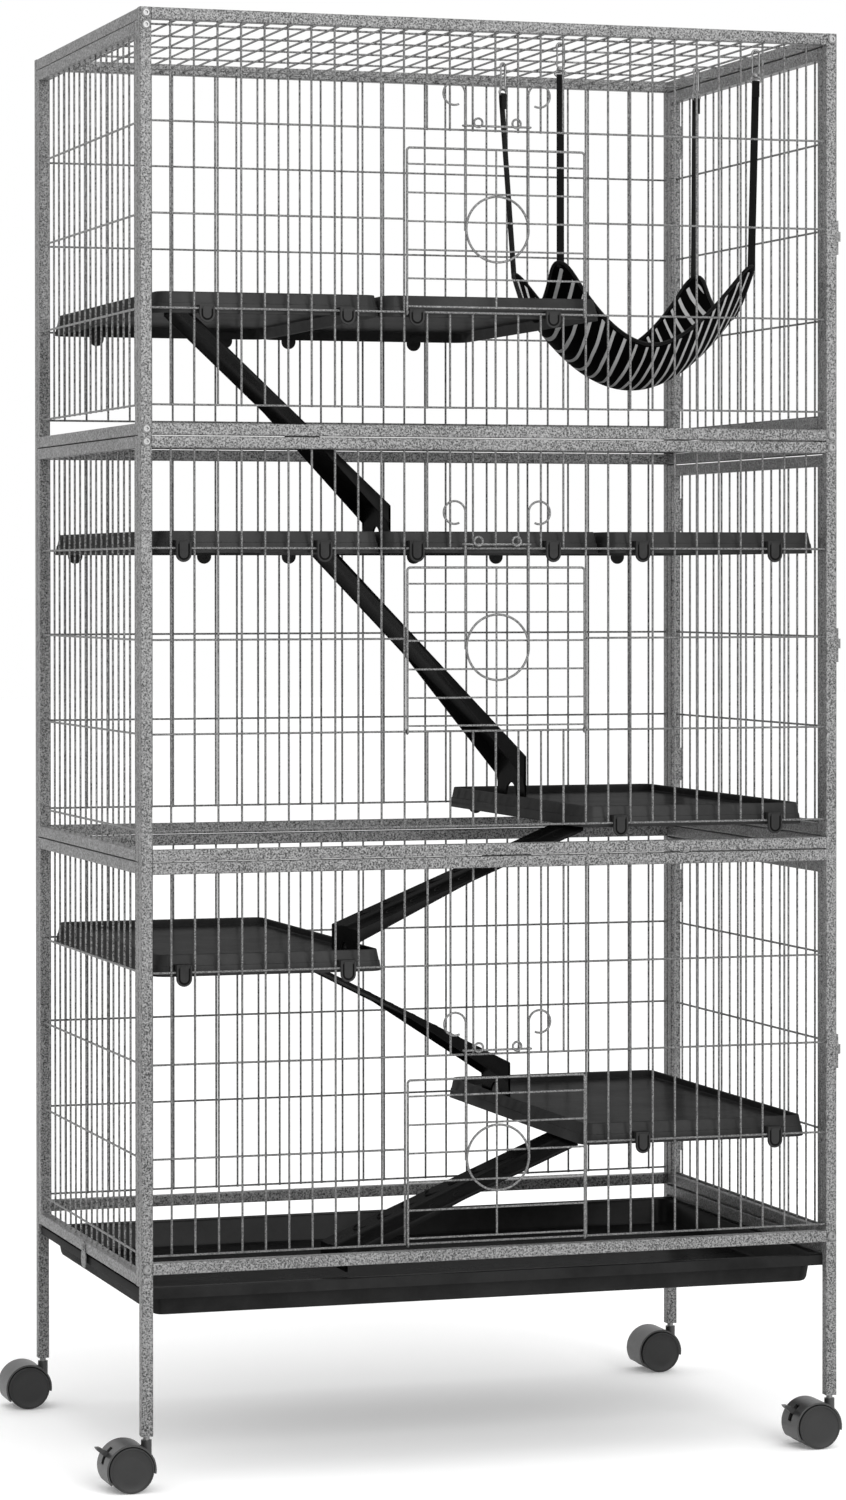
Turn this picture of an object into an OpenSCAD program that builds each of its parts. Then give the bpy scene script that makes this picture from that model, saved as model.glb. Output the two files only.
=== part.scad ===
// Tall wheeled small animal cage with three tiers, shelves, ramps, doors,
// a hammock and a sliding tray. Millimetres, +Z up, front towards -Y.
// Origin: centre of the bounding box at floor level.

/* [Frame] */
// Width over the posts
cage_w = 800; // [700:5:900]
// Depth over the posts
cage_d = 514; // [480:2:560]
// Top of the posts and roof frame
cage_h = 1578; // [1540:2:1640]
// Side of the square tube
tube = 12.7; // [12:0.1:14]
// Wall of the square tube
tube_wall = 1.2; // [0.8:0.1:1.6]
// Outer corner radius of the square tube
tube_r = 1.4; // [0.6:0.1:2]
// Underside of the posts above the floor
foot_z = 56; // [54:0.5:60]
// Visible seam between stacked tubes
seam = 1; // [0.6:0.1:1.4]
// Underside of the base tubes
base_z = 214.5; // [210:0.5:225]
// Height of the lower tier, scaled to fill the frame
tier_a = 453.5; // [445:0.5:465]
// Height of the middle tier, scaled to fill the frame
tier_b = 455; // [445:0.5:465]
// Height of the upper tier, scaled to fill the frame
tier_c = 442.3; // [435:0.1:455]

/* [Mesh] */
// Spacing of the upright wires, fitted to whole columns
wire_gap = 26.1; // [25:0.1:27]
// Distance of the last front and rear upright from the corner tubes
edge_gap = 21.9; // [16:0.1:26]
// Thickness of the mesh wires
wire_d = 2.4; // [2:0.1:2.8]
// Depth that crossing wires sink into each other at a weld
weld = 0.4; // [0.2:0.1:0.5]
// Lowest cross wire above the tier seam
row_a = 33; // [30:0.5:36]
// Second cross wire above the tier seam
row_b = 136.2; // [130:0.2:142]
// Third cross wire above the tier seam
row_c = 236.9; // [230:0.2:244]
// Top cross wire above the tier seam
row_d = 335; // [330:0.5:340]
// Spacing of the roof cross wires
roof_row = 100.7; // [90:0.5:110]

/* [Front doors] */
// Mesh columns from the middle to each side of a doorway
door_cols = 4; // [4:1:4]
// Gap between the door side wires and the doorway wires
door_side_gap = 2.5; // [2.3:0.1:3]
// Thickness of the door rim wire
rim_d = 2.6; // [2.4:0.1:2.8]
// Thickness of the door infill wires
fill_d = 2.2; // [2:0.1:2.4]
// Gap between the top of a door and the wire above its doorway
door_head_gap = 20.8; // [18.8:0.2:28.8]
// Lowest infill wire above the sill wire
fill_low = 6; // [5.8:0.1:6.5]
// Spacing of the door infill wires
fill_pitch = 31; // [29:0.5:32]
// Centre of the pull ring above the sill wire
ring_up = 91; // [86:1:96]
// Outer diameter of the pull ring
ring_d = 74; // [70:1:78]
// Thickness of the ring and leg wire
leg_d = 2.6; // [2.4:0.1:2.8]
// Distance of each leg from the door's middle line
leg_x = 36.3; // [35:0.1:37.5]
// Top of the leg curls above the sill wire
curl_top = 251.5; // [248:0.5:256]
// Outer radius of the leg curls
curl_r = 13.7; // [12:0.1:15]
// Height of the lock bar above the header wire
bar_up = 4.5; // [4:0.1:6]
// Diameter of the finger loops on the lock bar
loop_d = 12; // [10:0.5:13]
// Distance of each finger loop from the middle line
loop_x = 22; // [20:0.5:24]

/* [Side doors] */
// Gap round each side door
door_gap = 1.5; // [1:0.1:2.5]
// Hinge barrel radius
barrel_r = 3.2; // [3:0.1:3.4]
// Hinge pin radius
pin_r = 1.5; // [1.2:0.1:1.8]
// Height of each hinge
hinge_h = 40; // [36:1:50]
// Distance of each hinge from the door's ends
hinge_in = 60; // [50:1:90]
// Height of the latch plate
plate_h = 38; // [34:1:44]
// Thickness of the latch plate
plate_t = 2.7; // [2:0.1:3]
// Height of the latch knob
knob_h = 13; // [12:0.5:15]
// Reach of the latch knob beyond its plate
knob_out = 5.2; // [4.5:0.1:6]

/* [Shelves] */
// Gap between a shelf's rim and the plane inside the front and rear tubes
shelf_gap = 4.3; // [3:0.1:8]
// Height of the rim above its hook wire
shelf_rim = 18.5; // [17:0.5:20]
// Depth of the pan below the rim
pan_depth = 9; // [7:0.5:10]
// Height of the shelf skirt
skirt_h = 23.5; // [22:0.5:25]
// Outward slope of the skirt on each side
flare = 5; // [3:0.5:5.5]
// Plastic thickness of the shelves
shelf_t = 2.5; // [2:0.1:3]
// Corner radius of the shelf rim
shelf_r = 12; // [8:1:16]
// Width of the hook tabs
tab_w = 17.4; // [14:0.2:17.4]
// Reach of the hook tabs below the wire
tab_drop = 15; // [12:0.5:16]
// Width of the opening over each upper ramp
hatch_w = 124; // [116:1:130]

/* [Ramps] */
// Width of the ramps
ramp_w = 98; // [90:1:104]
// Plastic thickness of the ramps
ramp_t = 2.4; // [2:0.1:3]
// Length of the tongue that lies on the shelf at the top of an upper ramp
tongue_l = 13.6; // [11:0.1:13.8]
// Side wall depth at the upper end of a ramp
ramp_thin = 3.6; // [3:0.2:6]
// Height of the raised middle band of the tread
band_h = 1.2; // [0.8:0.1:1.6]

/* [Tray] */
// Top of the tray rim above the floor
tray_top = 211.8; // [208:0.2:212]
// Depth of the tray
tray_h = 31.8; // [28:0.2:36]
// Height of the turned down rim
rim_h = 9.3; // [8:0.1:11]
// Plastic thickness of the tray
tray_t = 2.2; // [1.8:0.1:2.6]
// Corner radius of the tray
tray_r = 16; // [10:1:24]
// Gap between the tray rim and the posts
tray_gap = 0.8; // [0.5:0.1:1.5]

/* [Casters] */
// Radius of the caster wheels
wheel_r = 24.4; // [23:0.2:25]
// Width over the two wheels
caster_w = 50; // [46:1:54]
// Distance of the axle behind the swivel
trail = 21.4; // [20:0.2:23]
// Clearance between the wheels and the hood
hood_gap = 0.8; // [0.6:0.1:1.2]
// Hood thickness
hood_t = 2; // [1.6:0.1:2.2]
// Radius of the swivel stem
stem_r = 3.5; // [3:0.1:4]
// Reach of the brake pedal from the axle
pedal_reach = 41.5; // [39:0.5:43]

/* [Hammock] */
// Drop of the hammock corners below the roof
sling_drop = 252; // [230:1:270]
// Length of the hammock's snap hooks below the roof wires
clip_l = 36; // [34:1:40]
// Sag of the sling's edges
edge_sag = 84; // [70:1:95]
// Extra sag of the sling's middle
belly = 52; // [40:1:60]
// Thickness of the cloth
cloth_t = 2.4; // [2:0.1:3]
// Width of the webbing straps
strap_w = 7; // [6:0.5:9]
// Thickness of the webbing straps
strap_t = 1.6; // [1.2:0.1:2]

/* [Hidden] */
hair = 0.1;
run_fit = 0.05;
wire_r = wire_d / 2;
half_w = cage_w / 2;
half_d = cage_d / 2;
post_x = half_w - tube / 2;
post_y = half_d - tube / 2;
in_x = half_w - tube;
in_y = half_d - tube;
roof_z = cage_h - tube;
tier_k = (roof_z - base_z) / (tier_a + tier_b + tier_c);
tier_lo = base_z + tier_a * tier_k;
tier_hi = tier_lo + tier_b * tier_k;
base_top = base_z + tube;
rail_z = base_top + seam / 2;
bore = tube - 2 * tube_wall;

// caster reach sets where the middle of the box lies
axle_x = post_x + trail;
pedal_a = 147;
pedal_dx = pedal_reach * cos(pedal_a);
reach_l = axle_x - pedal_dx;
reach_r = half_w + plate_t + knob_out;
cage_x = (reach_l - reach_r) / 2;

// mesh planes: uprights in the middle of the tubes, cross wires outside them
cross_out = wire_d - weld;
cross_y = post_y + cross_out;
cols = round((in_x - edge_gap) / wire_gap);
pitch = (in_x - edge_gap) / cols;
side_cols = floor((in_y - tube - 5) / pitch);
rows = [row_a, row_b, row_c, row_d];
tiers = [tier_hi, tier_lo, base_z];
tier_top = [roof_z, tier_hi, tier_lo];
sills = [tier_hi + row_b, tier_lo + row_b, base_z + row_a];
heads = [tier_hi + row_d, tier_lo + row_d, base_z + row_c];
door_h = row_d - row_b - door_head_gap;

// front doorway
way_x = door_cols * pitch;
door_x = way_x - door_side_gap;
rim_r = rim_d / 2;
fill_r = fill_d / 2;
leg_r = leg_d / 2;
door_y = cross_y + 0.6;
leg_y = door_y + leg_r + fill_r - 0.2;
ring_y = leg_y + 2 * leg_r - weld;
eye_r = 1.1;
eye_fit = 0.08;
bar_r = 1.2;
curl_c = curl_r - leg_r;

// side doors
hinge_x = half_w + barrel_r + 0.3;
side_y = in_y - 1;
hinge_y = (side_y + in_y) / 2;
side_lo = [tier_hi + tube + seam / 2 + door_gap, tier_lo + tube + seam / 2 + door_gap, base_top + door_gap];
side_hi = [roof_z - door_gap, tier_hi - tube - seam / 2 - door_gap, tier_lo - tube - seam / 2 - door_gap];
latch_y = half_d - 9.5;
latch_z = [(side_lo[0] + side_hi[0]) / 2, (side_lo[1] + side_hi[1]) / 2, (side_lo[2] + side_hi[2]) / 2];
shaft_r = 2;
blade_t = 2.2;

// places along X in thousandths of the inside half width, and wire gaps counted in the 14 columns of the usual width
usual_cols = 14;
function at_x(v) = v * in_x / 1000;
function at_col(v) = [for (c = v) round(c * cols / usual_cols - 0.5) + 0.5];

// shelves: left end, right end, wire height, front hook columns, hook rise
shelf_d = 2 * (in_y - shelf_gap);
wire_1 = tier_hi + row_b;
wire_2 = tier_lo + row_d;
wire_3 = tier_lo + row_a;
wire_4 = base_z + row_d;
wire_5 = base_z + row_b;
hook_hi = 8.5;
hook_sill = 3.4;
hook_t = 1.7;
shelf_x = [at_x([-973.4, -340.8]), at_x([-315, 312.4]), at_x([-973.4, -340.8]), at_x([-315, 312.4]),
    at_x([346, 970.8]), at_x([278.9, 934.7]), at_x([-973.4, -335.7]), at_x([276.3, 942.4])];
shelf_w = [wire_1, wire_1, wire_2, wire_2, wire_2, wire_3, wire_4, wire_5];
hooks = [at_col([-12.5, -6.5]), at_col([-3.5, 2.5]), at_col([-13.5, -7.5]), at_col([-3.5, 2.5]), at_col([6.5, 12.5]),
    at_col([5.5, 12.5]), at_col([-13.5, -6.5]), at_col([6.5, 12.5])];
no_hatch = [0, 0, 0];

// ramps: upper end, lower end, near side, foot height
floor_1 = wire_1 + shelf_rim - pan_depth;
floor_2 = wire_2 + shelf_rim - pan_depth;
floor_3 = wire_3 + shelf_rim - pan_depth;
floor_4 = wire_4 + shelf_rim - pan_depth;
floor_5 = wire_5 + shelf_rim - pan_depth;
seat = 0.3;
skirt_3 = wire_3 + shelf_rim - skirt_h;
skirt_4 = wire_4 + shelf_rim - skirt_h;
skirt_5 = wire_5 + shelf_rim - skirt_h;
ramp_ax = at_x([-872.7, -276.3, 294.3, -405.4, 289.2]);
ramp_bx = at_x([-278.9, 330.5, -382.1, 296.9, -406.1]);
ramp_a = [[ramp_ax[0], floor_1 - shelf_t - seat - 3], [ramp_ax[1], floor_2 - shelf_t - seat - 3],
    [ramp_ax[2], skirt_3 - 1], [ramp_ax[3], skirt_4 + 1], [ramp_ax[4], skirt_5 - 1]];
ramp_b = [[ramp_bx[0], floor_2 + 38], [ramp_bx[1], floor_3 + 54], [ramp_bx[2], floor_4 + 28],
    [ramp_bx[3], floor_5 + 47], [ramp_bx[4], tray_top + 21.5]];
ramp_f = [floor_2 + seat, floor_3 + seat, floor_4 + seat, floor_5 + seat, tray_top + 0.5];
ramp_y = [-shelf_d / 2 + 28, 20, -shelf_d / 2 + 24, 40, -shelf_d / 2 + 37];
// height of the hanging tongue at each upper end
ramp_up = [floor_1 + seat + ramp_t, floor_2 + seat + ramp_t, floor_3 - shelf_t - seat, floor_4 - shelf_t - seat, floor_5 - shelf_t - seat];

// tray
tray_l = half_w - 2;
tray_y = in_y - tray_gap;
body_in = 11.5;
body_end = 14;
tray_draft = 6;
run_t = 1.6;
rivet_r = 2;
tab_y = 9;
run_z = tray_top - rim_h - 0.2 - run_t;

// casters
axle_r = 3;
hood_in = wheel_r + hood_gap;
hood_r = hood_in + hood_t;
web_t = 5.6;
inner_gap = 6.9;
neck_r = 5.75;
neck_top = wheel_r + hood_r + 0.4;
pedal_in = 20.5;
pedal_w = 9;
lug_t = 1.5;
pedal_pin = 1.2;

// hammock clips: x on the roof wires, y as hung
clip_x0 = at_col([4.5])[0] * pitch;
clip_x1 = at_col([13.5])[0] * pitch;
clips = [[clip_x0, -130], [clip_x0, 72], [clip_x1, 55], [clip_x1, -133]];
roof_wire = roof_z + wire_d + wire_r + hair;
clip_ring = 7;
clip_wire = 1.4;
clip_low = roof_wire - clip_l;
sling_z = cage_h - sling_drop;
sling = [[clip_x0, -130], [clip_x0 + 15.5, 72], [clip_x1 - 1.4, 55], [clip_x1 - 5.4, -133]];
sling_in = 6;

grey = [0.55, 0.56, 0.56];
steel = [0.75, 0.75, 0.74];
black = [0.16, 0.16, 0.17];

module place() {
    translate([cage_x, 0, 0]) children();
}

// square tube profile, centred
module tube_2d(hollow = true) {
    difference() {
        union() {
            square([tube - 2 * tube_r, tube], center = true);
            square([tube, tube - 2 * tube_r], center = true);
            for (sx = [-1, 1], sy = [-1, 1])
                translate([sx * (tube / 2 - tube_r), sy * (tube / 2 - tube_r)]) circle(r = tube_r, $fn = 24);
        }
        if (hollow) square(bore, center = true);
    }
}

module tube_x(x0, x1, y, z) {
    translate([x0, y, z]) rotate([90, 0, 90]) linear_extrude(x1 - x0) tube_2d();
}

module tube_y(x, y0, y1, z) {
    translate([x, y1, z]) rotate([90, 0, 0]) linear_extrude(y1 - y0) tube_2d();
}

module tube_z(x, y, z0, z1) {
    translate([x, y, z0]) linear_extrude(z1 - z0) tube_2d();
}

// straight wires with eight sides, flats facing along the axes
module wire_x(x0, x1, y, z, r = wire_r) {
    translate([x0, y, z]) rotate([0, 90, 0]) rotate([0, 0, 22.5]) cylinder(r = r, h = x1 - x0, $fn = 8);
}

module wire_y(x, y0, y1, z, r = wire_r) {
    translate([x, y1, z]) rotate([90, 0, 0]) rotate([0, 0, 22.5]) cylinder(r = r, h = y1 - y0, $fn = 8);
}

module wire_z(x, y, z0, z1, r = wire_r) {
    translate([x, y, z0]) rotate([0, 0, 22.5]) cylinder(r = r, h = z1 - z0, $fn = 8);
}

// ring of round wire about the Z axis
module ring(rc, r, from = 0, sweep = 360) {
    rotate([0, 0, from]) rotate_extrude(angle = sweep, $fn = 48) translate([rc, 0]) circle(r = r, $fn = 16);
}

bolt_z = [cage_h - tube / 2, cage_h - 1.5 * tube, tier_hi + tube / 2 + seam / 2, tier_hi - tube / 2 - seam / 2, rail_z + tube / 2];

module post(sx, sy, zs) {
    difference() {
        tube_z(sx * post_x, sy * post_y, foot_z, cage_h);
        for (i = zs)
            translate([sx * post_x, sy * (half_d + 1), bolt_z[i]]) rotate([sy * 90, 0, 0])
                cylinder(r = 3 + run_fit, h = tube_wall + 2, $fn = 24);
        if (sx > 0 && sy < 0)
            for (z = latch_z)
                translate([half_w - tube_wall - 1, -latch_y, z]) rotate([0, 90, 0])
                    cylinder(r = shaft_r + run_fit, h = tube_wall + 2, $fn = 24);
        if (sx < 0 && sy < 0) children();
    }
}

module post_front_left() place() color(grey) post(-1, -1, [0, 1, 2, 3, 4]);
module post_front_right() place() color(grey) post(1, -1, [0, 2, 3, 4]);
module post_rear_left() place() color(grey) post(-1, 1, [0, 1, 2, 3, 4]);
module post_rear_right() place() color(grey) post(1, 1, [0, 2, 3, 4]);

module bolt(sx, sy, z) {
    translate([sx * post_x, sy * half_d, z]) rotate([-sy * 90, 0, 0]) difference() {
        union() {
            translate([0, 0, 0]) cylinder(r = 5, h = 1.6, $fn = 32);
            translate([0, 0, 1.6]) cylinder(r1 = 5, r2 = 3.4, h = 1.3, $fn = 32);
            translate([0, 0, -8]) cylinder(r = 3, h = 8, $fn = 32);
        }
        translate([0, 0, 1]) cylinder(r = 2, h = 3, $fn = 6);
    }
}

module frame_bolts() place() color(steel) {
    for (sy = [-1, 1]) {
        for (i = [0, 1, 2, 3, 4]) bolt(-1, sy, bolt_z[i]);
        for (i = [0, 2, 3, 4]) bolt(1, sy, bolt_z[i]);
    }
}

module roof_panel() place() color(grey) {
    zc = roof_z + tube / 2;
    zx = roof_wire - wire_d + weld;
    ends = floor((in_y - 20) / roof_row);
    for (sy = [-1, 1]) tube_x(-in_x, in_x, sy * post_y, zc);
    for (sx = [-1, 1]) tube_y(sx * post_x, -in_y, in_y, zc);
    union() {
        for (i = [-cols : cols - 1]) wire_y((i + 0.5) * pitch, -in_y + hair, in_y - hair, roof_wire);
        for (j = [-ends : ends]) wire_x(-in_x + hair, in_x - hair, j * roof_row, zx);
    }
}

// framed panel in a side plane: four tubes and the mesh between them
module side_frame(x, sx, y1, z0, z1, wire_z0, low_row) {
    for (sy = [-1, 1]) tube_z(x, sy * (y1 - tube / 2), z0, z1);
    tube_y(x, -y1 + tube + hair, y1 - tube - hair, z0 + tube / 2);
    tube_y(x, -y1 + tube + hair, y1 - tube - hair, z1 - tube / 2);
    union() {
        for (i = [-side_cols : side_cols]) wire_z(x, i * pitch, wire_z0, z1 - tube - hair);
        for (z = low_row) wire_y(x + sx * cross_out, -y1 + tube + hair, y1 - tube - hair, z);
    }
}

// the lowest left panel's lower tube is the base tube itself
left_lo = [tier_hi + seam / 2, tier_lo + seam / 2, base_z];
rear_lo = [tier_hi + seam / 2, tier_lo + seam / 2, rail_z + hair];
left_hi = [roof_z - seam / 2, tier_hi - seam / 2, tier_lo - seam / 2];

module left_panel(i) place() color(grey) side_frame(-post_x, -1, in_y - hair, left_lo[i], left_hi[i],
    i == 0 ? tier_hi + row_a - wire_r : left_lo[i] + tube + hair, [for (r = rows) tiers[i] + r]);
module left_panel_top() left_panel(0);
module left_panel_middle() left_panel(1);
module left_panel_bottom() difference() {
    left_panel(2);
    place() translate([-half_w - 1, tab_y, base_z + tube / 2]) rotate([0, 90, 0]) cylinder(r = rivet_r + run_fit, h = tube_wall + 2, $fn = 24);
}

rear_hi = [roof_z - seam / 2, tier_hi - seam / 2, tier_lo - seam / 2];

// a cross wire that would meet the bottom rail sits just above it
function rear_row(i, r) = max(tiers[i] + r, rear_lo[i] + tube + wire_d);

module rear_panel(i) place() color(grey) {
    z0 = rear_lo[i];
    z1 = rear_hi[i];
    tube_x(-in_x, in_x, post_y, z0 + tube / 2);
    if (i > 0) tube_x(-in_x, in_x, post_y, z1 - tube / 2);
    union() {
        for (c = [-cols : cols]) wire_z(c * pitch, post_y, rear_row(i, row_a) - wire_r, i > 0 ? z1 - tube - hair : roof_z - hair);
        for (r = rows) wire_x(-in_x + hair, in_x - hair, cross_y, rear_row(i, r));
    }
}
module rear_panel_top() rear_panel(0);
module rear_panel_middle() rear_panel(1);
module rear_panel_bottom() rear_panel(2);

module front_rails() place() color(grey) {
    for (s = [tier_hi, tier_lo], k = [-1, 1]) tube_x(-in_x, in_x, -post_y, s + k * (tube + seam) / 2);
    tube_x(-in_x, in_x, -post_y, rail_z + hair + tube / 2);
}

module side_rails() place() color(grey) {
    tube_y(post_x, -in_y, in_y, base_z + tube / 2);
    for (s = [tier_hi, tier_lo], k = [-1, 1]) tube_y(post_x, -in_y, in_y, s + k * (tube + seam) / 2);
}

// front mesh in four separate pieces round its doorway
front_top = [roof_z, tier_hi - tube - seam / 2, tier_lo - tube - seam / 2];

module front_mesh(i) place() color(grey) {
    z_low = tiers[i] + row_a - wire_r;
    z_top = front_top[i] - hair;
    way_in = way_x - wire_r - 0.15;
    for (s = [-1, 1]) union() {
        for (c = [door_cols : cols]) wire_z(s * c * pitch, -post_y, z_low, z_top);
        for (r = rows) {
            z = tiers[i] + r;
            if (s < 0) wire_x(-in_x + hair, -way_x + 0.1, -cross_y, z);
            else wire_x(way_x - 0.1, in_x - hair, -cross_y, z);
        }
    }
    union() {
        for (c = [1 - door_cols : door_cols - 1]) wire_z(c * pitch, -post_y, heads[i] - wire_r, z_top);
        for (r = rows) if (tiers[i] + r > heads[i] - 1) wire_x(-way_in, way_in, -cross_y, tiers[i] + r);
    }
    union() {
        translate([-way_in, -cross_y, sills[i]]) rotate([0, 90, 0]) cylinder(r = wire_r, h = 2 * way_in, $fn = 24);
        if (sills[i] > z_low + 10)
            for (c = [1 - door_cols : door_cols - 1]) wire_z(c * pitch, -post_y, z_low, sills[i] + wire_r / 2);
        for (r = rows) if (tiers[i] + r < sills[i] - 1) wire_x(-way_in, way_in, -cross_y, tiers[i] + r);
    }
}
module front_mesh_top() front_mesh(0);
module front_mesh_middle() front_mesh(1);
module front_mesh_bottom() front_mesh(2);

// drop door: rim, infill, two hinge eyes on the sill wire, pull ring and curled legs
module front_door(i) place() color(steel) translate([0, 0, sills[i]]) {
    eye_c = wire_r + eye_fit + eye_r;
    corner = 3.5;
    union() {
        for (s = [-1, 1]) {
            translate([s * door_x, -cross_y, 0]) rotate([0, 90, 0]) ring(eye_c, eye_r);
            translate([s * door_x, -door_y, eye_c - 0.3]) cylinder(r = rim_r, h = door_h - corner - eye_c + 0.3, $fn = 16);
            translate([s * (door_x - corner), -door_y, door_h - corner]) rotate([90, 0, 0])
                ring(corner, rim_r, s > 0 ? 0 : 90, 90);
        }
        translate([-door_x + corner, -door_y, door_h]) rotate([0, 90, 0])
            cylinder(r = rim_r, h = 2 * (door_x - corner), $fn = 16);
        for (k = [0 : 5]) wire_x(-door_x, door_x, -door_y, fill_low + (k == 0 ? 0 : k * fill_pitch - 0.6), fill_r);
        wire_z(0, -door_y, fill_low - fill_r / 2, door_h, fill_r);
        translate([0, -ring_y, ring_up]) rotate([90, 0, 0]) ring(ring_d / 2 - leg_r, leg_r);
        for (s = [-1, 1]) {
            translate([s * leg_x, -leg_y, ring_up - 2]) cylinder(r = leg_r, h = curl_top - curl_r - ring_up + 2, $fn = 24);
            translate([s * (leg_x + curl_c), -leg_y, curl_top - curl_r]) rotate([90, 0, 0])
                ring(curl_c, leg_r - 0.1, s > 0 ? -115 : 0, 295);
        }
    }
}
module front_door_top() front_door(0);
module front_door_middle() front_door(1);
module front_door_bottom() front_door(2);

// lock bar: eyes round both legs, a straight bar and two finger loops
module lock_bar(i) place() color(steel) translate([0, -leg_y, heads[i] + bar_up]) {
    eye_c = leg_r + eye_fit + eye_r;
    union() {
        for (s = [-1, 1]) {
            translate([s * leg_x, 0, 0]) ring(eye_c, eye_r);
            translate([s * loop_x, -2 * bar_r + 0.3, loop_d / 2 - bar_r - 1.5]) rotate([90, 0, 0]) ring(loop_d / 2 - bar_r, bar_r);
        }
        translate([-leg_x + eye_c, 0, 0]) rotate([0, 90, 0]) cylinder(r = bar_r, h = 2 * (leg_x - eye_c), $fn = 16);
    }
}
module lock_bar_top() lock_bar(0);
module lock_bar_middle() lock_bar(1);
module lock_bar_bottom() lock_bar(2);

knuckle = (hinge_h - 0.4) / 3;

function hinge_at(i) = [side_lo[i] + hinge_in, side_hi[i] - hinge_in];

// swing door at the right side, with the moving halves of its hinges
module side_door(i) place() color(grey) {
    difference() {
        union() {
            side_frame(post_x, 1, side_y, side_lo[i], side_hi[i], side_lo[i] + tube + hair,
                [side_lo[i] + tube + wire_r + hair, tiers[i] + row_b, tiers[i] + row_c, tiers[i] + row_d]);
            for (z = hinge_at(i)) translate([0, 0, z]) {
                translate([half_w - 0.2, hinge_y - 11, -knuckle / 2]) cube([1.6, 11, knuckle]);
                translate([hinge_x, hinge_y, -knuckle / 2]) cylinder(r = barrel_r, h = knuckle, $fn = 32);
            }
        }
        for (z = hinge_at(i)) translate([hinge_x, hinge_y, z - knuckle / 2 - 1])
            cylinder(r = pin_r + run_fit, h = knuckle + 2, $fn = 32);
    }
}
module side_door_top() side_door(0);
module side_door_middle() side_door(1);
module side_door_bottom() side_door(2);

module side_hinges() color(grey) {
    for (i = [0 : 2], z = hinge_at(i)) translate([0, 0, z]) union() {
        translate([half_w, hinge_y + 4, -hinge_h / 2]) cube([1.4, 7, hinge_h]);
        for (s = [-1, 1]) {
            zk = s > 0 ? knuckle / 2 + 0.2 : -hinge_h / 2;
            translate([half_w, hinge_y, zk]) cube([1.4, 4.5, knuckle]);
            translate([hinge_x, hinge_y, zk]) cylinder(r = barrel_r, h = knuckle, $fn = 32);
        }
        translate([hinge_x, hinge_y, -hinge_h / 2]) cylinder(r = pin_r, h = hinge_h, $fn = 32);
    }
}

module latch_plates() color(steel) {
    for (z = latch_z) difference() {
        translate([half_w, -half_d + 2, z - plate_h / 2]) cube([plate_t, tube - 3, plate_h]);
        translate([half_w - 1, -latch_y, z]) rotate([0, 90, 0]) cylinder(r = shaft_r + run_fit, h = plate_t + 2, $fn = 24);
    }
}

module side_door_hardware() place() {
    side_hinges();
    latch_plates();
}

// turn latch: shaft through plate and post wall, blade that turns over the door edge
module latch_knob(i) place() color(steel) translate([half_w, -latch_y, latch_z[i]]) {
    hub = 4.4;
    tip = knob_h - hub;
    union() {
        translate([-tube_wall - 1.5, 0, 0]) rotate([0, 90, 0]) cylinder(r = shaft_r, h = plate_t + tube_wall + 2.5, $fn = 24);
        translate([plate_t + 0.3, 0, 0]) rotate([0, 90, 0]) cylinder(r = hub, h = blade_t, $fn = 32);
        translate([plate_t + 0.3, -3.2, 0]) cube([blade_t, 6.4, tip - 3.2]);
        translate([plate_t + 0.3, 0, tip - 3.2]) rotate([0, 90, 0]) cylinder(r = 3.2, h = blade_t, $fn = 32);
        translate([plate_t + 0.3, -1.1, -hub + 0.6]) cube([knob_out - 0.3, 2.2, tip + hub - 2.2]);
    }
}
module latch_knob_top() latch_knob(0);
module latch_knob_middle() latch_knob(1);
module latch_knob_bottom() latch_knob(2);

module round_box(x0, x1, y0, y1, z, r) {
    for (x = [x0 + r, x1 - r], y = [y0 + r, y1 - r]) translate([x, y, z]) cylinder(r = r, h = 0.01, $fn = 32);
}

// hook tab of a shelf: goes over a cross wire and hangs outside it
module hook(x, sy, w, rise) {
    y_out = cross_y + wire_r + 0.3;
    h0 = wire_r + 0.3;
    y_in = shelf_d / 2 - 1;
    translate([x, sy * y_out, w]) rotate([90, 0, 0]) translate([0, 0, sy > 0 ? -hook_t : 0]) linear_extrude(hook_t) union() {
        translate([-tab_w / 2, tab_w / 2 - tab_drop]) square([tab_w, rise + tab_drop - tab_w / 2]);
        translate([0, tab_w / 2 - tab_drop]) circle(r = tab_w / 2, $fn = 32);
    }
    translate([x - tab_w / 2, sy > 0 ? y_in : -y_out - 0.1, w + h0]) cube([tab_w, y_out - y_in + 0.1, rise - h0]);
}

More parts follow.
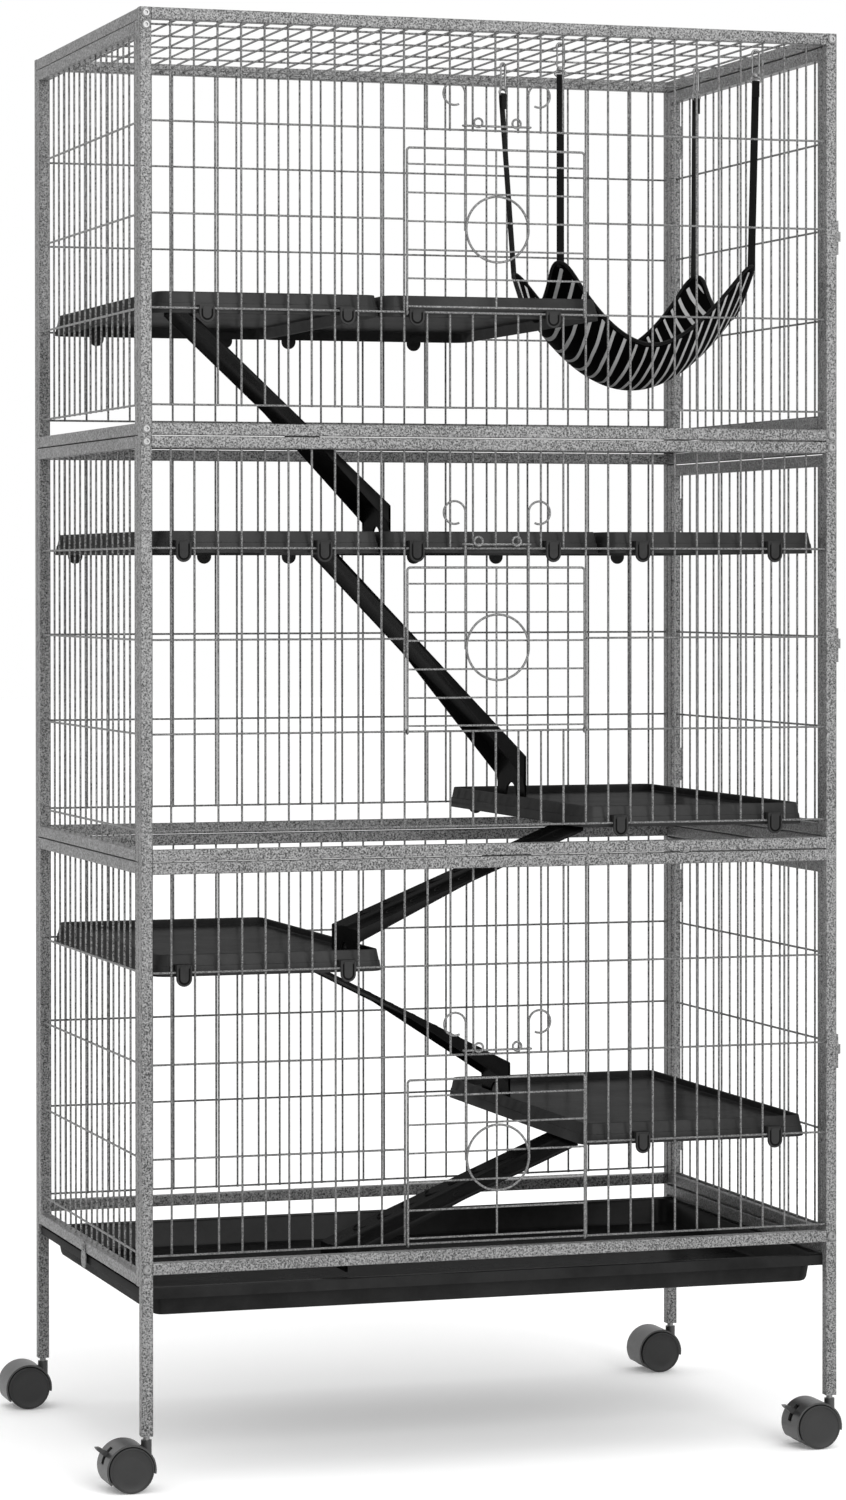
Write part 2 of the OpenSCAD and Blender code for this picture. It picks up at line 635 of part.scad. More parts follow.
module shelf(i, hatch = no_hatch) place() color(black) {
    x0 = shelf_x[i][0];
    x1 = shelf_x[i][1];
    w = shelf_w[i];
    y = shelf_d / 2;
    top = w + shelf_rim;
    low = top - skirt_h;
    deck = top - pan_depth;
    k = flare / skirt_h;
    a = (pan_depth + 0.01) * k;
    b = (pan_depth + shelf_t) * k;
    union() {
        difference() {
            hull() {
                round_box(x0, x1, -y, y, top - 0.01, shelf_r);
                round_box(x0 - flare, x1 + flare, -y - flare, y + flare, low, shelf_r);
            }
            hull() {
                round_box(x0 + shelf_t, x1 - shelf_t, -y + shelf_t, y - shelf_t, top, shelf_r - shelf_t);
                round_box(x0 + shelf_t - a, x1 - shelf_t + a, -y + shelf_t - a, y - shelf_t + a, deck, shelf_r - shelf_t);
            }
            hull() {
                round_box(x0 + shelf_t - b, x1 - shelf_t + b, -y + shelf_t - b, y - shelf_t + b, deck - shelf_t, shelf_r - shelf_t);
                round_box(x0 + shelf_t - flare, x1 - shelf_t + flare, -y + shelf_t - flare, y - shelf_t + flare, low - 0.01, shelf_r - shelf_t);
            }
            if (hatch[2] > 0) translate([hatch[0], hatch[1], deck - shelf_t - 1]) cube([hatch[2], ramp_w + 6, shelf_t + 2]);
        }
        for (h = hooks[i], sy = [-1, 1])
            hook(h * pitch, sy, w, abs(h * pitch) < way_x && i < 2 ? hook_sill : hook_hi);
    }
}
module shelf_1_left() shelf(0, [ramp_a[0][0] - 4, ramp_y[0] - 3, hatch_w]);
module shelf_1_centre() shelf(1);
module shelf_2_left() shelf(2);
module shelf_2_centre() shelf(3, [ramp_a[1][0] - 4, ramp_y[1] - 3, hatch_w]);
module shelf_2_right() shelf(4);
module shelf_3_right() shelf(5);
module shelf_4_left() shelf(6);
module shelf_5_right() shelf(7);

// moulded ramp: tread, side walls that deepen towards the foot, foot wall with an arch
module ramp(i) place() color(black) {
    a = ramp_a[i];
    b = ramp_b[i];
    f = ramp_f[i];
    s = a[0] < b[0] ? 1 : -1;
    run = abs(b[0] - a[0]);
    len = norm(b - a);
    fall = (a[1] - b[1]) / len;
    nx = fall * s;
    nz = run / len;
    under = a - ramp_thin * [nx, nz];
    toe = b[0] - s * 3.4;
    side = [a, b, [b[0], f], [toe, f], [toe, f + 0.52 * (b[1] - f)], under + (b - a) / 2, under];
    tread = [a, b, b - ramp_t * [nx, nz], a - ramp_t * [nx, nz]];
    band = [a + band_h * [nx, nz] + 16 * [s * nz, -fall], b + band_h * [nx, nz] - 12 * [s * nz, -fall],
        b - 12 * [s * nz, -fall] - 0.5 * [nx, nz], a + 16 * [s * nz, -fall] - 0.5 * [nx, nz]];
    tongue = i < 2 ? [[a[0] - 3, a[1] - 1], [a[0], a[1] - 2], [a[0], ramp_up[i]], [a[0] - tongue_l, ramp_up[i]],
        [a[0] - tongue_l, ramp_up[i] - ramp_t], [a[0] - 3, ramp_up[i] - ramp_t]]
        : [[a[0] - s * 0.1, a[1] - 3], [a[0] + s * 2.4, a[1] - 3], [a[0] + s * 2.4, ramp_up[i]], [a[0] - s * 0.1, ramp_up[i]]];
    translate([0, ramp_y[i] + ramp_w, 0]) rotate([90, 0, 0]) difference() {
        union() {
            linear_extrude(ramp_w) polygon(tread);
            for (z = [0, ramp_w - ramp_t]) translate([0, 0, z]) linear_extrude(ramp_t) polygon(side);
            linear_extrude(ramp_w) polygon([b, [b[0], f], [b[0] - s * ramp_t, f], b - s * [ramp_t, 0] - [0, 1]]);
            translate([0, 0, ramp_w * 0.36]) linear_extrude(ramp_w * 0.28) polygon(band);
            translate([0, 0, 10]) linear_extrude(ramp_w - 20) polygon(tongue);
        }
        if (b[1] - f > 22)
            translate([b[0] - 6, f - 0.1, ramp_w / 2]) rotate([0, 90, 0]) cylinder(r = (b[1] - f) * 0.4, h = 12, $fn = 48);
    }
}
module ramp_1() ramp(0);
module ramp_2() ramp(1);
module ramp_3() ramp(2);
module ramp_4() ramp(3);
module ramp_5() ramp(4);

// sling cloth: point of the middle surface at u, v in 0 to 1
function mix(a, b, t) = a * (1 - t) + b * t;
function sag(t) = 4 * t * (1 - t);
function sling_p(u, v) = let (
    p = mix(mix(sling[0], sling[3], u), mix(sling[1], sling[2], u), v),
    e = sag(u) * edge_sag * (1 - 0.25 * sag(v)) + sag(v) * (14 + belly * pow(sag(u), 0.8)),
    c = sling_in * (1 - 2 * u) * sag(v),
    d = sling_in * 2.2 * (1 - 2 * v) * sag(u))
    [p[0] + c, p[1] + d, sling_z - e - 4 * sin(3 * 360 * u) * pow(1 - sag(v), 2) * sag(u)];

module hammock_cloth() place() color(black) {
    nu = 20;
    nv = 14;
    half = cloth_t / 2;
    m = (nu + 1) * (nv + 1);
    top = [for (j = [0 : nv], i = [0 : nu]) sling_p(i / nu, j / nv) + [0, 0, half]];
    bot = [for (j = [0 : nv], i = [0 : nu]) sling_p(i / nu, j / nv) - [0, 0, half]];
    edge = concat([for (i = [0 : nu - 1]) i], [for (j = [0 : nv - 1]) j * (nu + 1) + nu],
        [for (i = [nu : -1 : 1]) nv * (nu + 1) + i], [for (j = [nv : -1 : 1]) j * (nu + 1)]);
    n = len(edge);
    quads = [for (j = [0 : nv - 1], i = [0 : nu - 1]) j * (nu + 1) + i];
    up = [for (q = quads) each [[q, q + nu + 2, q + 1], [q, q + nu + 1, q + nu + 2]]];
    down = [for (q = quads) each [[m + q, m + q + 1, m + q + nu + 2], [m + q, m + q + nu + 2, m + q + nu + 1]]];
    rim = [for (k = [0 : n - 1]) each [[edge[k], edge[(k + 1) % n], m + edge[(k + 1) % n]],
        [edge[k], m + edge[(k + 1) % n], m + edge[k]]]];
    polyhedron(points = concat(top, bot), faces = concat(up, down, rim), convexity = 6);
}

// flat webbing between two points
module webbing(p, q) {
    v = q - p;
    l = norm(v);
    translate(p) rotate([0, acos(v[2] / l), atan2(v[1], v[0])]) translate([-strap_t / 2, -strap_w / 2, 0])
        cube([strap_t, strap_w, l]);
}

module hammock_straps() place() color(black) {
    for (i = [0 : 3]) webbing([sling[i][0], sling[i][1], sling_z + cloth_t / 2 + seat],
        [clips[i][0], clips[i][1], clip_low + 0.4 - seat]);
}

// snap hook: eye ring, shank, hook over a roof wire and its gate
module hammock_clips() place() color(steel) {
    hook_c = wire_r + seat + clip_wire;
    for (c = clips) translate([c[0], c[1], 0]) union() {
        translate([0, 0, clip_low + clip_ring + 0.4]) rotate([90, 0, 0]) ring(clip_ring - clip_wire, clip_wire);
        translate([0, 0, clip_low + 2 * clip_ring - clip_wire]) cylinder(r = 2.4, h = 9, $fn = 24);
        translate([hook_c, 0, clip_low + 2 * clip_ring + 6]) cylinder(r = clip_wire, h = roof_wire - clip_low - 2 * clip_ring - 6, $fn = 16);
        translate([-hook_c, 0, clip_low + 2 * clip_ring + 9]) cylinder(r = clip_wire, h = roof_wire - clip_low - 2 * clip_ring - 9, $fn = 16);
        translate([0, 0, roof_wire]) rotate([90, 0, 0]) ring(hook_c, clip_wire, 0, 180);
        translate([-hook_c - clip_wire, -2.4, clip_low + 2 * clip_ring + 5]) cube([2 * (hook_c + clip_wire), 4.8, 4]);
    }
}

// pull out tray: tapered body with a flat flange and a turned down rim
module tray() place() color(black) {
    x0 = -tray_l;
    x1 = tray_l;
    bx0 = x0 + body_end;
    bx1 = x1 - body_end;
    by = tray_y - body_in;
    low = tray_top - tray_h;
    t = tray_t;
    d = tray_draft;
    union() {
        difference() {
            union() {
                hull() {
                    round_box(bx0, bx1, -by, by, tray_top - 0.01, tray_r);
                    round_box(bx0 + d, bx1 - d, -by + d, by - d, low, tray_r - 4);
                }
                translate([x0, -tray_y, tray_top - rim_h]) cube([x1 - x0, 2 * tray_y, rim_h]);
            }
            hull() {
                round_box(bx0 + t, bx1 - t, -by + t, by - t, tray_top + 0.01, tray_r - t);
                round_box(bx0 + t + d, bx1 - t - d, -by + t + d, by - t - d, low + t, tray_r - t - 4);
            }
            difference() {
                translate([x0 + t, -tray_y + t, tray_top - rim_h - 1]) cube([x1 - x0 - 2 * t, 2 * (tray_y - t), rim_h + 1 - t]);
                hull() {
                    round_box(bx0, bx1, -by, by, tray_top - 0.01, tray_r);
                    round_box(bx0 + d, bx1 - d, -by + d, by - d, low, tray_r - 4);
                }
            }
        }
    }
}

module tray_runners() place() color(black) {
    y_out = tray_y + 1.2;
    for (s = [-1, 1]) union() {
        translate([-in_x, s > 0 ? y_out : -y_out - run_t, run_z]) cube([2 * in_x, run_t, tray_top - run_z]);
        translate([-in_x, s > 0 ? y_out - 9 : -y_out - 0.2, run_z]) cube([2 * in_x, 9.2, run_t]);
    }
}

// tab riveted to the left base tube, hanging over the end of the tray
module tray_lock_tab() place() color(grey) translate([-half_w, tab_y, base_z + tube / 2]) rotate([0, -90, 0]) rotate([0, 0, -90]) {
    tip = base_z + tube / 2 - (tray_top - 15);
    big = 11;
    union() {
        translate([0, 0, 0.3]) linear_extrude(1.2) union() {
            circle(r = 6.5, $fn = 32);
            translate([0, big - tip]) circle(r = big, $fn = 48);
            polygon([[-6.2, 1.5], [6.2, 1.5], [big - 0.1, big - tip], [-big + 0.1, big - tip]]);
        }
        translate([0, 0, -tube_wall - 1]) cylinder(r = rivet_r, h = tube_wall + 2, $fn = 24);
        translate([0, 0, 1.4]) cylinder(r1 = 4.6, r2 = 3, h = 1.6, $fn = 32);
    }
}

function caster_at(sx, sy) = [sx * post_x, sy * post_y, 0];

module caster_stems() place() color(steel) {
    for (sx = [-1, 1], sy = [-1, 1]) translate(caster_at(sx, sy)) union() {
        translate([0, 0, wheel_r + 7]) cylinder(r = stem_r, h = foot_z - wheel_r - 6, $fn = 32);
        translate([0, 0, foot_z + 0.2]) cylinder(r = bore / 2 - run_fit, h = 30, $fn = 32);
    }
}

// hood of a twin wheel caster, with its web, neck and, where braked, pedal slot
module caster_hood(sx, sy, braked) place() color(black) translate(caster_at(sx, sy)) {
    w = caster_w / 2 - 2.2;
    difference() {
        union() {
            translate([-trail, 0, wheel_r]) rotate([90, 0, 0]) {
                rotate([0, 0, -10]) rotate_extrude(angle = 224, $fn = 72) translate([hood_in, -w]) square([hood_t, 2 * w]);
                translate([0, 0, -web_t / 2]) intersection() {
                    cylinder(r = hood_in + 0.5, h = web_t, $fn = 72);
                    translate([-hood_r, -17, -1]) cube([2 * hood_r, hood_r + 17, web_t + 2]);
                }
                if (braked) for (s = [-1, 1]) intersection() {
                    rotate([0, 0, pedal_a - 16]) rotate_extrude(angle = 32, $fn = 48)
                        translate([pedal_in - 3, s > 0 ? pedal_w / 2 + 0.3 : -pedal_w / 2 - 0.3 - lug_t]) square([hood_in + 0.5 - pedal_in + 3, lug_t]);
                    cylinder(r = hood_r, h = caster_w, center = true);
                }
            }
            translate([0, 0, wheel_r - 4]) cylinder(r = neck_r, h = neck_top - wheel_r + 4, $fn = 48);
        }
        translate([0, 0, wheel_r + 6]) cylinder(r = stem_r + run_fit, h = 40, $fn = 32);
        translate([-trail, 0, wheel_r]) rotate([90, 0, 0]) {
            cylinder(r = axle_r + run_fit, h = caster_w, center = true, $fn = 32);
            if (braked) {
                rotate([0, 0, pedal_a - 20]) rotate_extrude(angle = 44, $fn = 48)
                    translate([pedal_in - 4.2, -pedal_w / 2 - 0.3]) square([20, pedal_w + 0.6]);
                rotate([0, 0, pedal_a]) translate([pedal_in, 0, 0])
                    cylinder(r = pedal_pin + run_fit, h = 2 * (pedal_w / 2 + lug_t + 0.4), center = true, $fn = 24);
            }
        }
    }
}
module caster_hood_fl() caster_hood(-1, -1, true);
module caster_hood_fr() caster_hood(1, -1, true);
module caster_hood_rl() caster_hood(-1, 1, false);
module caster_hood_rr() caster_hood(1, 1, false);

module caster_wheels(sx, sy) place() color(black) translate(caster_at(sx, sy)) translate([-trail, 0, wheel_r]) rotate([90, 0, 0]) {
    h = caster_w / 2 - inner_gap;
    union() {
        for (s = [-1, 1]) translate([0, 0, s > 0 ? inner_gap : -caster_w / 2]) difference() {
            cylinder(r = wheel_r, h = h, $fn = 96);
            translate([0, 0, s > 0 ? h - 0.8 : -1]) cylinder(r = wheel_r - 2.4, h = 1.8, $fn = 96);
        }
        cylinder(r = axle_r, h = 2 * inner_gap + 2, center = true, $fn = 32);
    }
}
module caster_wheels_fl() caster_wheels(-1, -1);
module caster_wheels_fr() caster_wheels(1, -1);
module caster_wheels_rl() caster_wheels(-1, 1);
module caster_wheels_rr() caster_wheels(1, 1);

module caster_brake(sx, sy) place() color(black) translate(caster_at(sx, sy)) translate([-trail, 0, wheel_r]) rotate([90, 0, 0]) rotate([0, 0, pedal_a]) {
    reach = pedal_reach;
    union() {
        translate([pedal_in, 0, 0]) cylinder(r = pedal_pin, h = pedal_w + 2 * lug_t, center = true, $fn = 24);
        translate([pedal_in, 0, 0]) cylinder(r = 2.9, h = pedal_w, center = true, $fn = 24);
        translate([0, 0, -pedal_w / 2]) linear_extrude(pedal_w)
            polygon([[pedal_in, -2.6], [hood_r + 2, -3.4], [reach - 4, -2.6], [reach, 0], [reach - 3, 1.6], [hood_r + 2, 2.6], [pedal_in, 2.6]]);
    }
}
module caster_brake_fl() caster_brake(-1, -1);
module caster_brake_fr() caster_brake(1, -1);

post_front_left();
post_front_right();
post_rear_left();
post_rear_right();
roof_panel();
left_panel_top();
left_panel_middle();
left_panel_bottom();
rear_panel_top();
rear_panel_middle();
rear_panel_bottom();
front_mesh_top();
front_mesh_middle();
front_mesh_bottom();
front_rails();
side_rails();
tray_runners();
side_door_top();
side_door_middle();
side_door_bottom();
side_door_hardware();
latch_knob_top();
latch_knob_middle();
latch_knob_bottom();
front_door_top();
front_door_middle();
front_door_bottom();
lock_bar_top();
lock_bar_middle();
lock_bar_bottom();
shelf_1_left();
shelf_1_centre();
shelf_2_left();
shelf_2_centre();
shelf_2_right();
shelf_3_right();
shelf_4_left();
shelf_5_right();
ramp_1();
ramp_2();
ramp_3();
ramp_4();
ramp_5();
hammock_cloth();
hammock_straps();
hammock_clips();
tray();
tray_lock_tab();
frame_bolts();
caster_stems();
caster_hood_fl();
caster_hood_fr();
caster_hood_rl();
caster_hood_rr();
caster_wheels_fl();
caster_wheels_fr();
caster_wheels_rl();
caster_wheels_rr();
caster_brake_fl();
caster_brake_fr();
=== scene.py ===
import math

import bmesh
import bpy
from mathutils import Matrix, Vector


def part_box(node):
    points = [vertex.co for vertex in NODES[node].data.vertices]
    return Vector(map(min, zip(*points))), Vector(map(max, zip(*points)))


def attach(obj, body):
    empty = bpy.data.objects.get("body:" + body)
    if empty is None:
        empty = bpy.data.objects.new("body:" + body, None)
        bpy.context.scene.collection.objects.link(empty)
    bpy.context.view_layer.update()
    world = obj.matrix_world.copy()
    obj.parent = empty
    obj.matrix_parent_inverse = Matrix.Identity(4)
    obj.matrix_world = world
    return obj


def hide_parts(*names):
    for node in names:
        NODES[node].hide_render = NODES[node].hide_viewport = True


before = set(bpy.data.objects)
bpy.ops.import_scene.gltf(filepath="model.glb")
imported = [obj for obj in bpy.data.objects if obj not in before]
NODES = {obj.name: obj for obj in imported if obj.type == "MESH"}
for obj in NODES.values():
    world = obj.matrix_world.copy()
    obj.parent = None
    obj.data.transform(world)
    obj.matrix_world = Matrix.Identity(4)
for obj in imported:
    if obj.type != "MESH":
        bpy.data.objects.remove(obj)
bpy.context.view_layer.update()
MM = 0.001


def srgb(*v):
    """0 to 255 display values as linear RGBA."""
    out = [(c / 255 / 12.92) if c / 255 <= 0.04045 else ((c / 255 + 0.055) / 1.055) ** 2.4 for c in v]
    return (*out, 1.0) if len(out) == 3 else (out[0], out[0], out[0], 1.0)


# share of a displayed grey that a surface needs under the key light
DIM = 0.55


def tone(v):
    """A grey as it looks under the strong key light, turned down to the surface's own shade."""
    c = srgb(v)[0] * DIM
    return (c, c, c, 1.0)


# ---------------------------------------------------------------- materials

class Mat:
    """A Principled material and short calls to wire procedural nodes into it."""

    def __init__(self, name, rough=0.5, metal=0.0, spec=0.5, coat=0.0, sheen=0.0):
        self.m = bpy.data.materials.new(name)
        self.m.use_nodes = True
        self.t = self.m.node_tree
        self.b = self.t.nodes["Principled BSDF"]
        self.b.inputs["Roughness"].default_value = rough
        self.b.inputs["Metallic"].default_value = metal
        self.b.inputs["Specular IOR Level"].default_value = spec
        self.b.inputs["Coat Weight"].default_value = coat
        self.b.inputs["Coat Roughness"].default_value = 0.25
        self.b.inputs["Sheen Weight"].default_value = sheen
        self.co = self.node("ShaderNodeTexCoord").outputs["Object"]

    def node(self, kind, **values):
        n = self.t.nodes.new(kind)
        for k, v in values.items():
            if k in n.inputs:
                n.inputs[k].default_value = v
            else:
                setattr(n, k, v)
        return n

    def link(self, a, b):
        self.t.links.new(a, b)
        return b

    def noise(self, scale, detail=3.0, rough=0.6, co=None):
        n = self.node("ShaderNodeTexNoise", Scale=scale, Detail=detail, Roughness=rough)
        self.link(co or self.co, n.inputs["Vector"])
        return n.outputs["Fac"]

    def voronoi(self, scale, feature="F1", co=None):
        n = self.node("ShaderNodeTexVoronoi", feature=feature)
        n.inputs["Scale"].default_value = scale
        self.link(co or self.co, n.inputs["Vector"])
        return n.outputs["Distance"]

    def ramp(self, fac, stops):
        n = self.node("ShaderNodeValToRGB")
        e = n.color_ramp.elements
        while len(e) < len(stops):
            e.new(0.5)
        for el, (p, c) in zip(e, stops):
            el.position = p
            el.color = c
        self.link(fac, n.inputs["Fac"])
        return n.outputs["Color"]

    def math(self, op, a, b=0.0, c=None):
        n = self.node("ShaderNodeMath", operation=op)
        for i, v in enumerate([a, b] + ([c] if c is not None else [])):
            if isinstance(v, (int, float)):
                n.inputs[i].default_value = v
            else:
                self.link(v, n.inputs[i])
        return n.outputs[0]

    def mix(self, fac, a, b, blend="MIX"):
        n = self.node("ShaderNodeMix", data_type="RGBA", blend_type=blend)
        for s, v in ((0, fac), (6, a), (7, b)):
            if isinstance(v, (int, float, tuple)):
                n.inputs[s].default_value = v
            else:
                self.link(v, n.inputs[s])
        return n.outputs[2]

    def bump(self, height, strength, dist):
        n = self.node("ShaderNodeBump", Strength=strength, Distance=dist)
        self.link(height, n.inputs["Height"])
        self.link(n.outputs["Normal"], self.b.inputs["Normal"])

    def color(self, c):
        if isinstance(c, tuple):
            self.b.inputs["Base Color"].default_value = c
        else:
            self.link(c, self.b.inputs["Base Color"])

    def rough(self, lo, hi, fac):
        n = self.node("ShaderNodeMapRange")
        n.inputs["To Min"].default_value = lo
        n.inputs["To Max"].default_value = hi
        self.link(fac, n.inputs["Value"])
        self.link(n.outputs[0], self.b.inputs["Roughness"])


def hammered(name, dark, light, scale, bump=0.35):
    """Hammertone powder coat: fine grey speckle over a dimpled, half glossy skin."""
    m = Mat(name, rough=0.45, metal=0.2, spec=0.35, coat=0.05)
    spots = m.noise(scale, 2.5, 0.75)
    cells = m.voronoi(scale * 0.8, "SMOOTH_F1")
    cloud = m.noise(9.0, 2.0, 0.5)
    fac = m.math("ADD", m.math("MULTIPLY", spots, 0.75), m.math("MULTIPLY", cells, 0.28))
    fac = m.math("ADD", fac, m.math("MULTIPLY", cloud, 0.08))
    glint = tuple(min(1, c * 1.9) for c in light[:3]) + (1,)
    m.color(m.ramp(fac, [(0.43, dark), (0.53, light), (0.64, glint)]))
    m.rough(0.4, 0.62, spots)
    m.bump(m.math("ADD", spots, m.math("MULTIPLY", cells, 0.7)), bump, 0.0006)
    return m.m


def plastic(name, dark, light, rough=(0.42, 0.6), grain=900.0, bump=0.12, spec=0.4, coat=0.0):
    """Moulded plastic: fine spark eroded grain, faint cloudiness and scuffs."""
    m = Mat(name, spec=spec, coat=coat)
    cloud = m.noise(14.0, 4.0, 0.6)
    fine = m.noise(grain, 2.0, 0.6)
    scuff = m.noise(60.0, 6.0, 0.8)
    blotch = m.math("ADD", m.math("MULTIPLY", cloud, 0.7), m.math("MULTIPLY", scuff, 0.3))
    m.color(m.ramp(blotch, [(0.35, dark), (0.68, light)]))
    m.rough(rough[0], rough[1], scuff)
    m.bump(fine, bump, 0.0002)
    return m.m


def plated(name, base, rough=(0.18, 0.4)):
    """Bright zinc plate with fine brushed variation."""
    m = Mat(name, metal=1.0)
    n = m.noise(350.0, 4.0, 0.6)
    m.color(m.ramp(n, [(0.35, tuple(c * 0.8 for c in base[:3]) + (1,)), (0.65, base)]))
    m.rough(rough[0], rough[1], n)
    m.bump(n, 0.05, 0.0002)
    return m.m


M_FRAME = hammered("hammered_grey", tone(48), tone(134), 600.0, 0.25)
M_WIRE = hammered("hammered_wire", tone(62), tone(118), 900.0, 0.2)
M_DOOR = hammered("hammered_door_wire", tone(70), tone(128), 900.0, 0.2)
M_BOLT = plated("bright_zinc", srgb(140), (0.36, 0.5))
M_CLIP = plated("clip_zinc", srgb(140), (0.28, 0.42))
M_LATCH = plated("latch_zinc", srgb(112), (0.34, 0.5))
M_SHELF = plastic("shelf_plastic", tone(46), tone(68), rough=(0.5, 0.66), spec=0.0, coat=0.1)
M_RAMP = plastic("ramp_plastic", tone(18), tone(34), rough=(0.3, 0.4), spec=0.0, coat=0.06)
M_TRAY = plastic("tray_plastic", tone(32), tone(52), rough=(0.34, 0.48), spec=0.0, coat=0.12)
M_HOOD = plastic("hood_plastic", tone(38), tone(66), rough=(0.3, 0.5), grain=520.0, bump=0.5, spec=0.6)
M_WHEEL = plastic("wheel_plastic", tone(30), tone(44), rough=(0.4, 0.55), grain=1200.0)
# near black plates on the hook grooves' floors: painted shade that stands in for the groove's shadow
M_GROOVE_SHADE = plastic("groove_shadow", tone(8), tone(14), rough=(0.7, 0.8), spec=0.1)


# printed stripes, in metres on the cloth: pitch, share of the pitch that is light, how far they waver
STRIPE_PITCH, STRIPE_SHARE, STRIPE_WAVER = 0.0165, 0.27, 0.012
# lean at the middle of the cloth and its change per metre to the right, about a line this far in front of the middle
STRIPE_LEAN, STRIPE_TURN, STRIPE_HINGE = 0.1, 0.6, 0.05
# black border that the binding is sewn to
BORDER = 0.0045


def cloth_material():
    """Black cloth printed with wavering light stripes; UV runs along and across the cloth in metres."""
    m = Mat("striped_cloth", rough=0.9, spec=0.03)
    uv = m.node("ShaderNodeTexCoord").outputs["UV"]
    sep = m.node("ShaderNodeSeparateXYZ")
    m.link(uv, sep.inputs[0])
    u, v = sep.outputs[0], sep.outputs[1]
    wob = m.node("ShaderNodeTexNoise", Scale=14.0, Detail=1.0)
    m.link(uv, wob.inputs["Vector"])
    shift = m.math("MULTIPLY", m.math("SUBTRACT", wob.outputs["Fac"], 0.5), STRIPE_WAVER)
    # the stripes lean more towards the right
    slant = m.math("MULTIPLY_ADD", u, STRIPE_TURN, STRIPE_LEAN)
    lean = m.math("MULTIPLY_ADD", m.math("ADD", v, STRIPE_HINGE), slant, shift)
    phase = m.math("FRACT", m.math("MULTIPLY", m.math("ADD", u, lean), 1 / STRIPE_PITCH))
    width = m.math("ADD", STRIPE_SHARE, m.math("MULTIPLY", m.math("SUBTRACT", wob.outputs["Fac"], 0.5), 0.3))
    stripe = m.math("LESS_THAN", phase, width)
    edge = m.node("ShaderNodeAttribute", attribute_name="border")
    keep = m.math("GREATER_THAN", edge.outputs["Fac"], BORDER)
    stripe = m.math("MULTIPLY", stripe, keep)
    weave = m.node("ShaderNodeTexWave", Scale=420.0, Distortion=0.4)
    m.link(uv, weave.inputs["Vector"])
    weave2 = m.node("ShaderNodeTexWave", Scale=420.0, Distortion=0.4, bands_direction="Y")
    m.link(uv, weave2.inputs["Vector"])
    thread = m.math("MULTIPLY", weave.outputs["Fac"], weave2.outputs["Fac"])
    black = m.ramp(thread, [(0.0, tone(2)), (1.0, tone(12))])
    white = m.ramp(thread, [(0.0, tone(206)), (1.0, tone(244))])
    m.color(m.mix(stripe, black, white))
    m.bump(thread, 0.35, 0.0004)
    return m.m


def webbing_material(name, dark, light, scale=900.0):
    """Woven band: two crossing waves of thread."""
    m = Mat(name, rough=0.85, spec=0.12, sheen=0.04)
    w = m.node("ShaderNodeTexWave", Scale=scale, Distortion=0.3, bands_direction="Z")
    m.link(m.co, w.inputs["Vector"])
    w2 = m.node("ShaderNodeTexWave", Scale=scale * 0.7, Distortion=0.3, bands_direction="DIAGONAL")
    m.link(m.co, w2.inputs["Vector"])
    f = m.math("MULTIPLY", w.outputs["Fac"], w2.outputs["Fac"])
    m.color(m.ramp(f, [(0.0, dark), (1.0, light)]))
    m.bump(f, 0.6, 0.0005)
    return m.m


M_CLOTH = cloth_material()
M_WEB = webbing_material("webbing", tone(8), tone(26))
M_BIND = webbing_material("cloth_binding", tone(7), tone(22), 1400.0)


# ---------------------------------------------------------------- mesh helpers

def smooth(obj, angle=35.0):
    """Smooth shading, with edges sharper than angle kept crisp."""
    me = obj.data
    bm = bmesh.new()
    bm.from_mesh(me)
    for f in bm.faces:
        f.smooth = True
    lim = math.radians(angle)
    for e in bm.edges:
        e.smooth = len(e.link_faces) == 2 and e.calc_face_angle(0.0) < lim
    bm.to_mesh(me)
    bm.free()


def adopt(me, name, material, body, replaces=(), angle=35.0):
    """Makes a mesh a visible piece that moves with a body and stands in for CAD nodes."""
    o = bpy.data.objects.new(name, me)
    bpy.context.scene.collection.objects.link(o)
    me.materials.clear()
    me.materials.append(material)
    smooth(o, angle)
    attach(o, body)
    if replaces:
        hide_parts(*replaces)
    return o


# section of a flat bar with eased corners, in half widths and half thicknesses
FLAT_BAR = [(1, -.7), (1, .7), (.85, 1), (-.85, 1), (-1, .7), (-1, -.7), (-.85, -1), (.85, -1)]


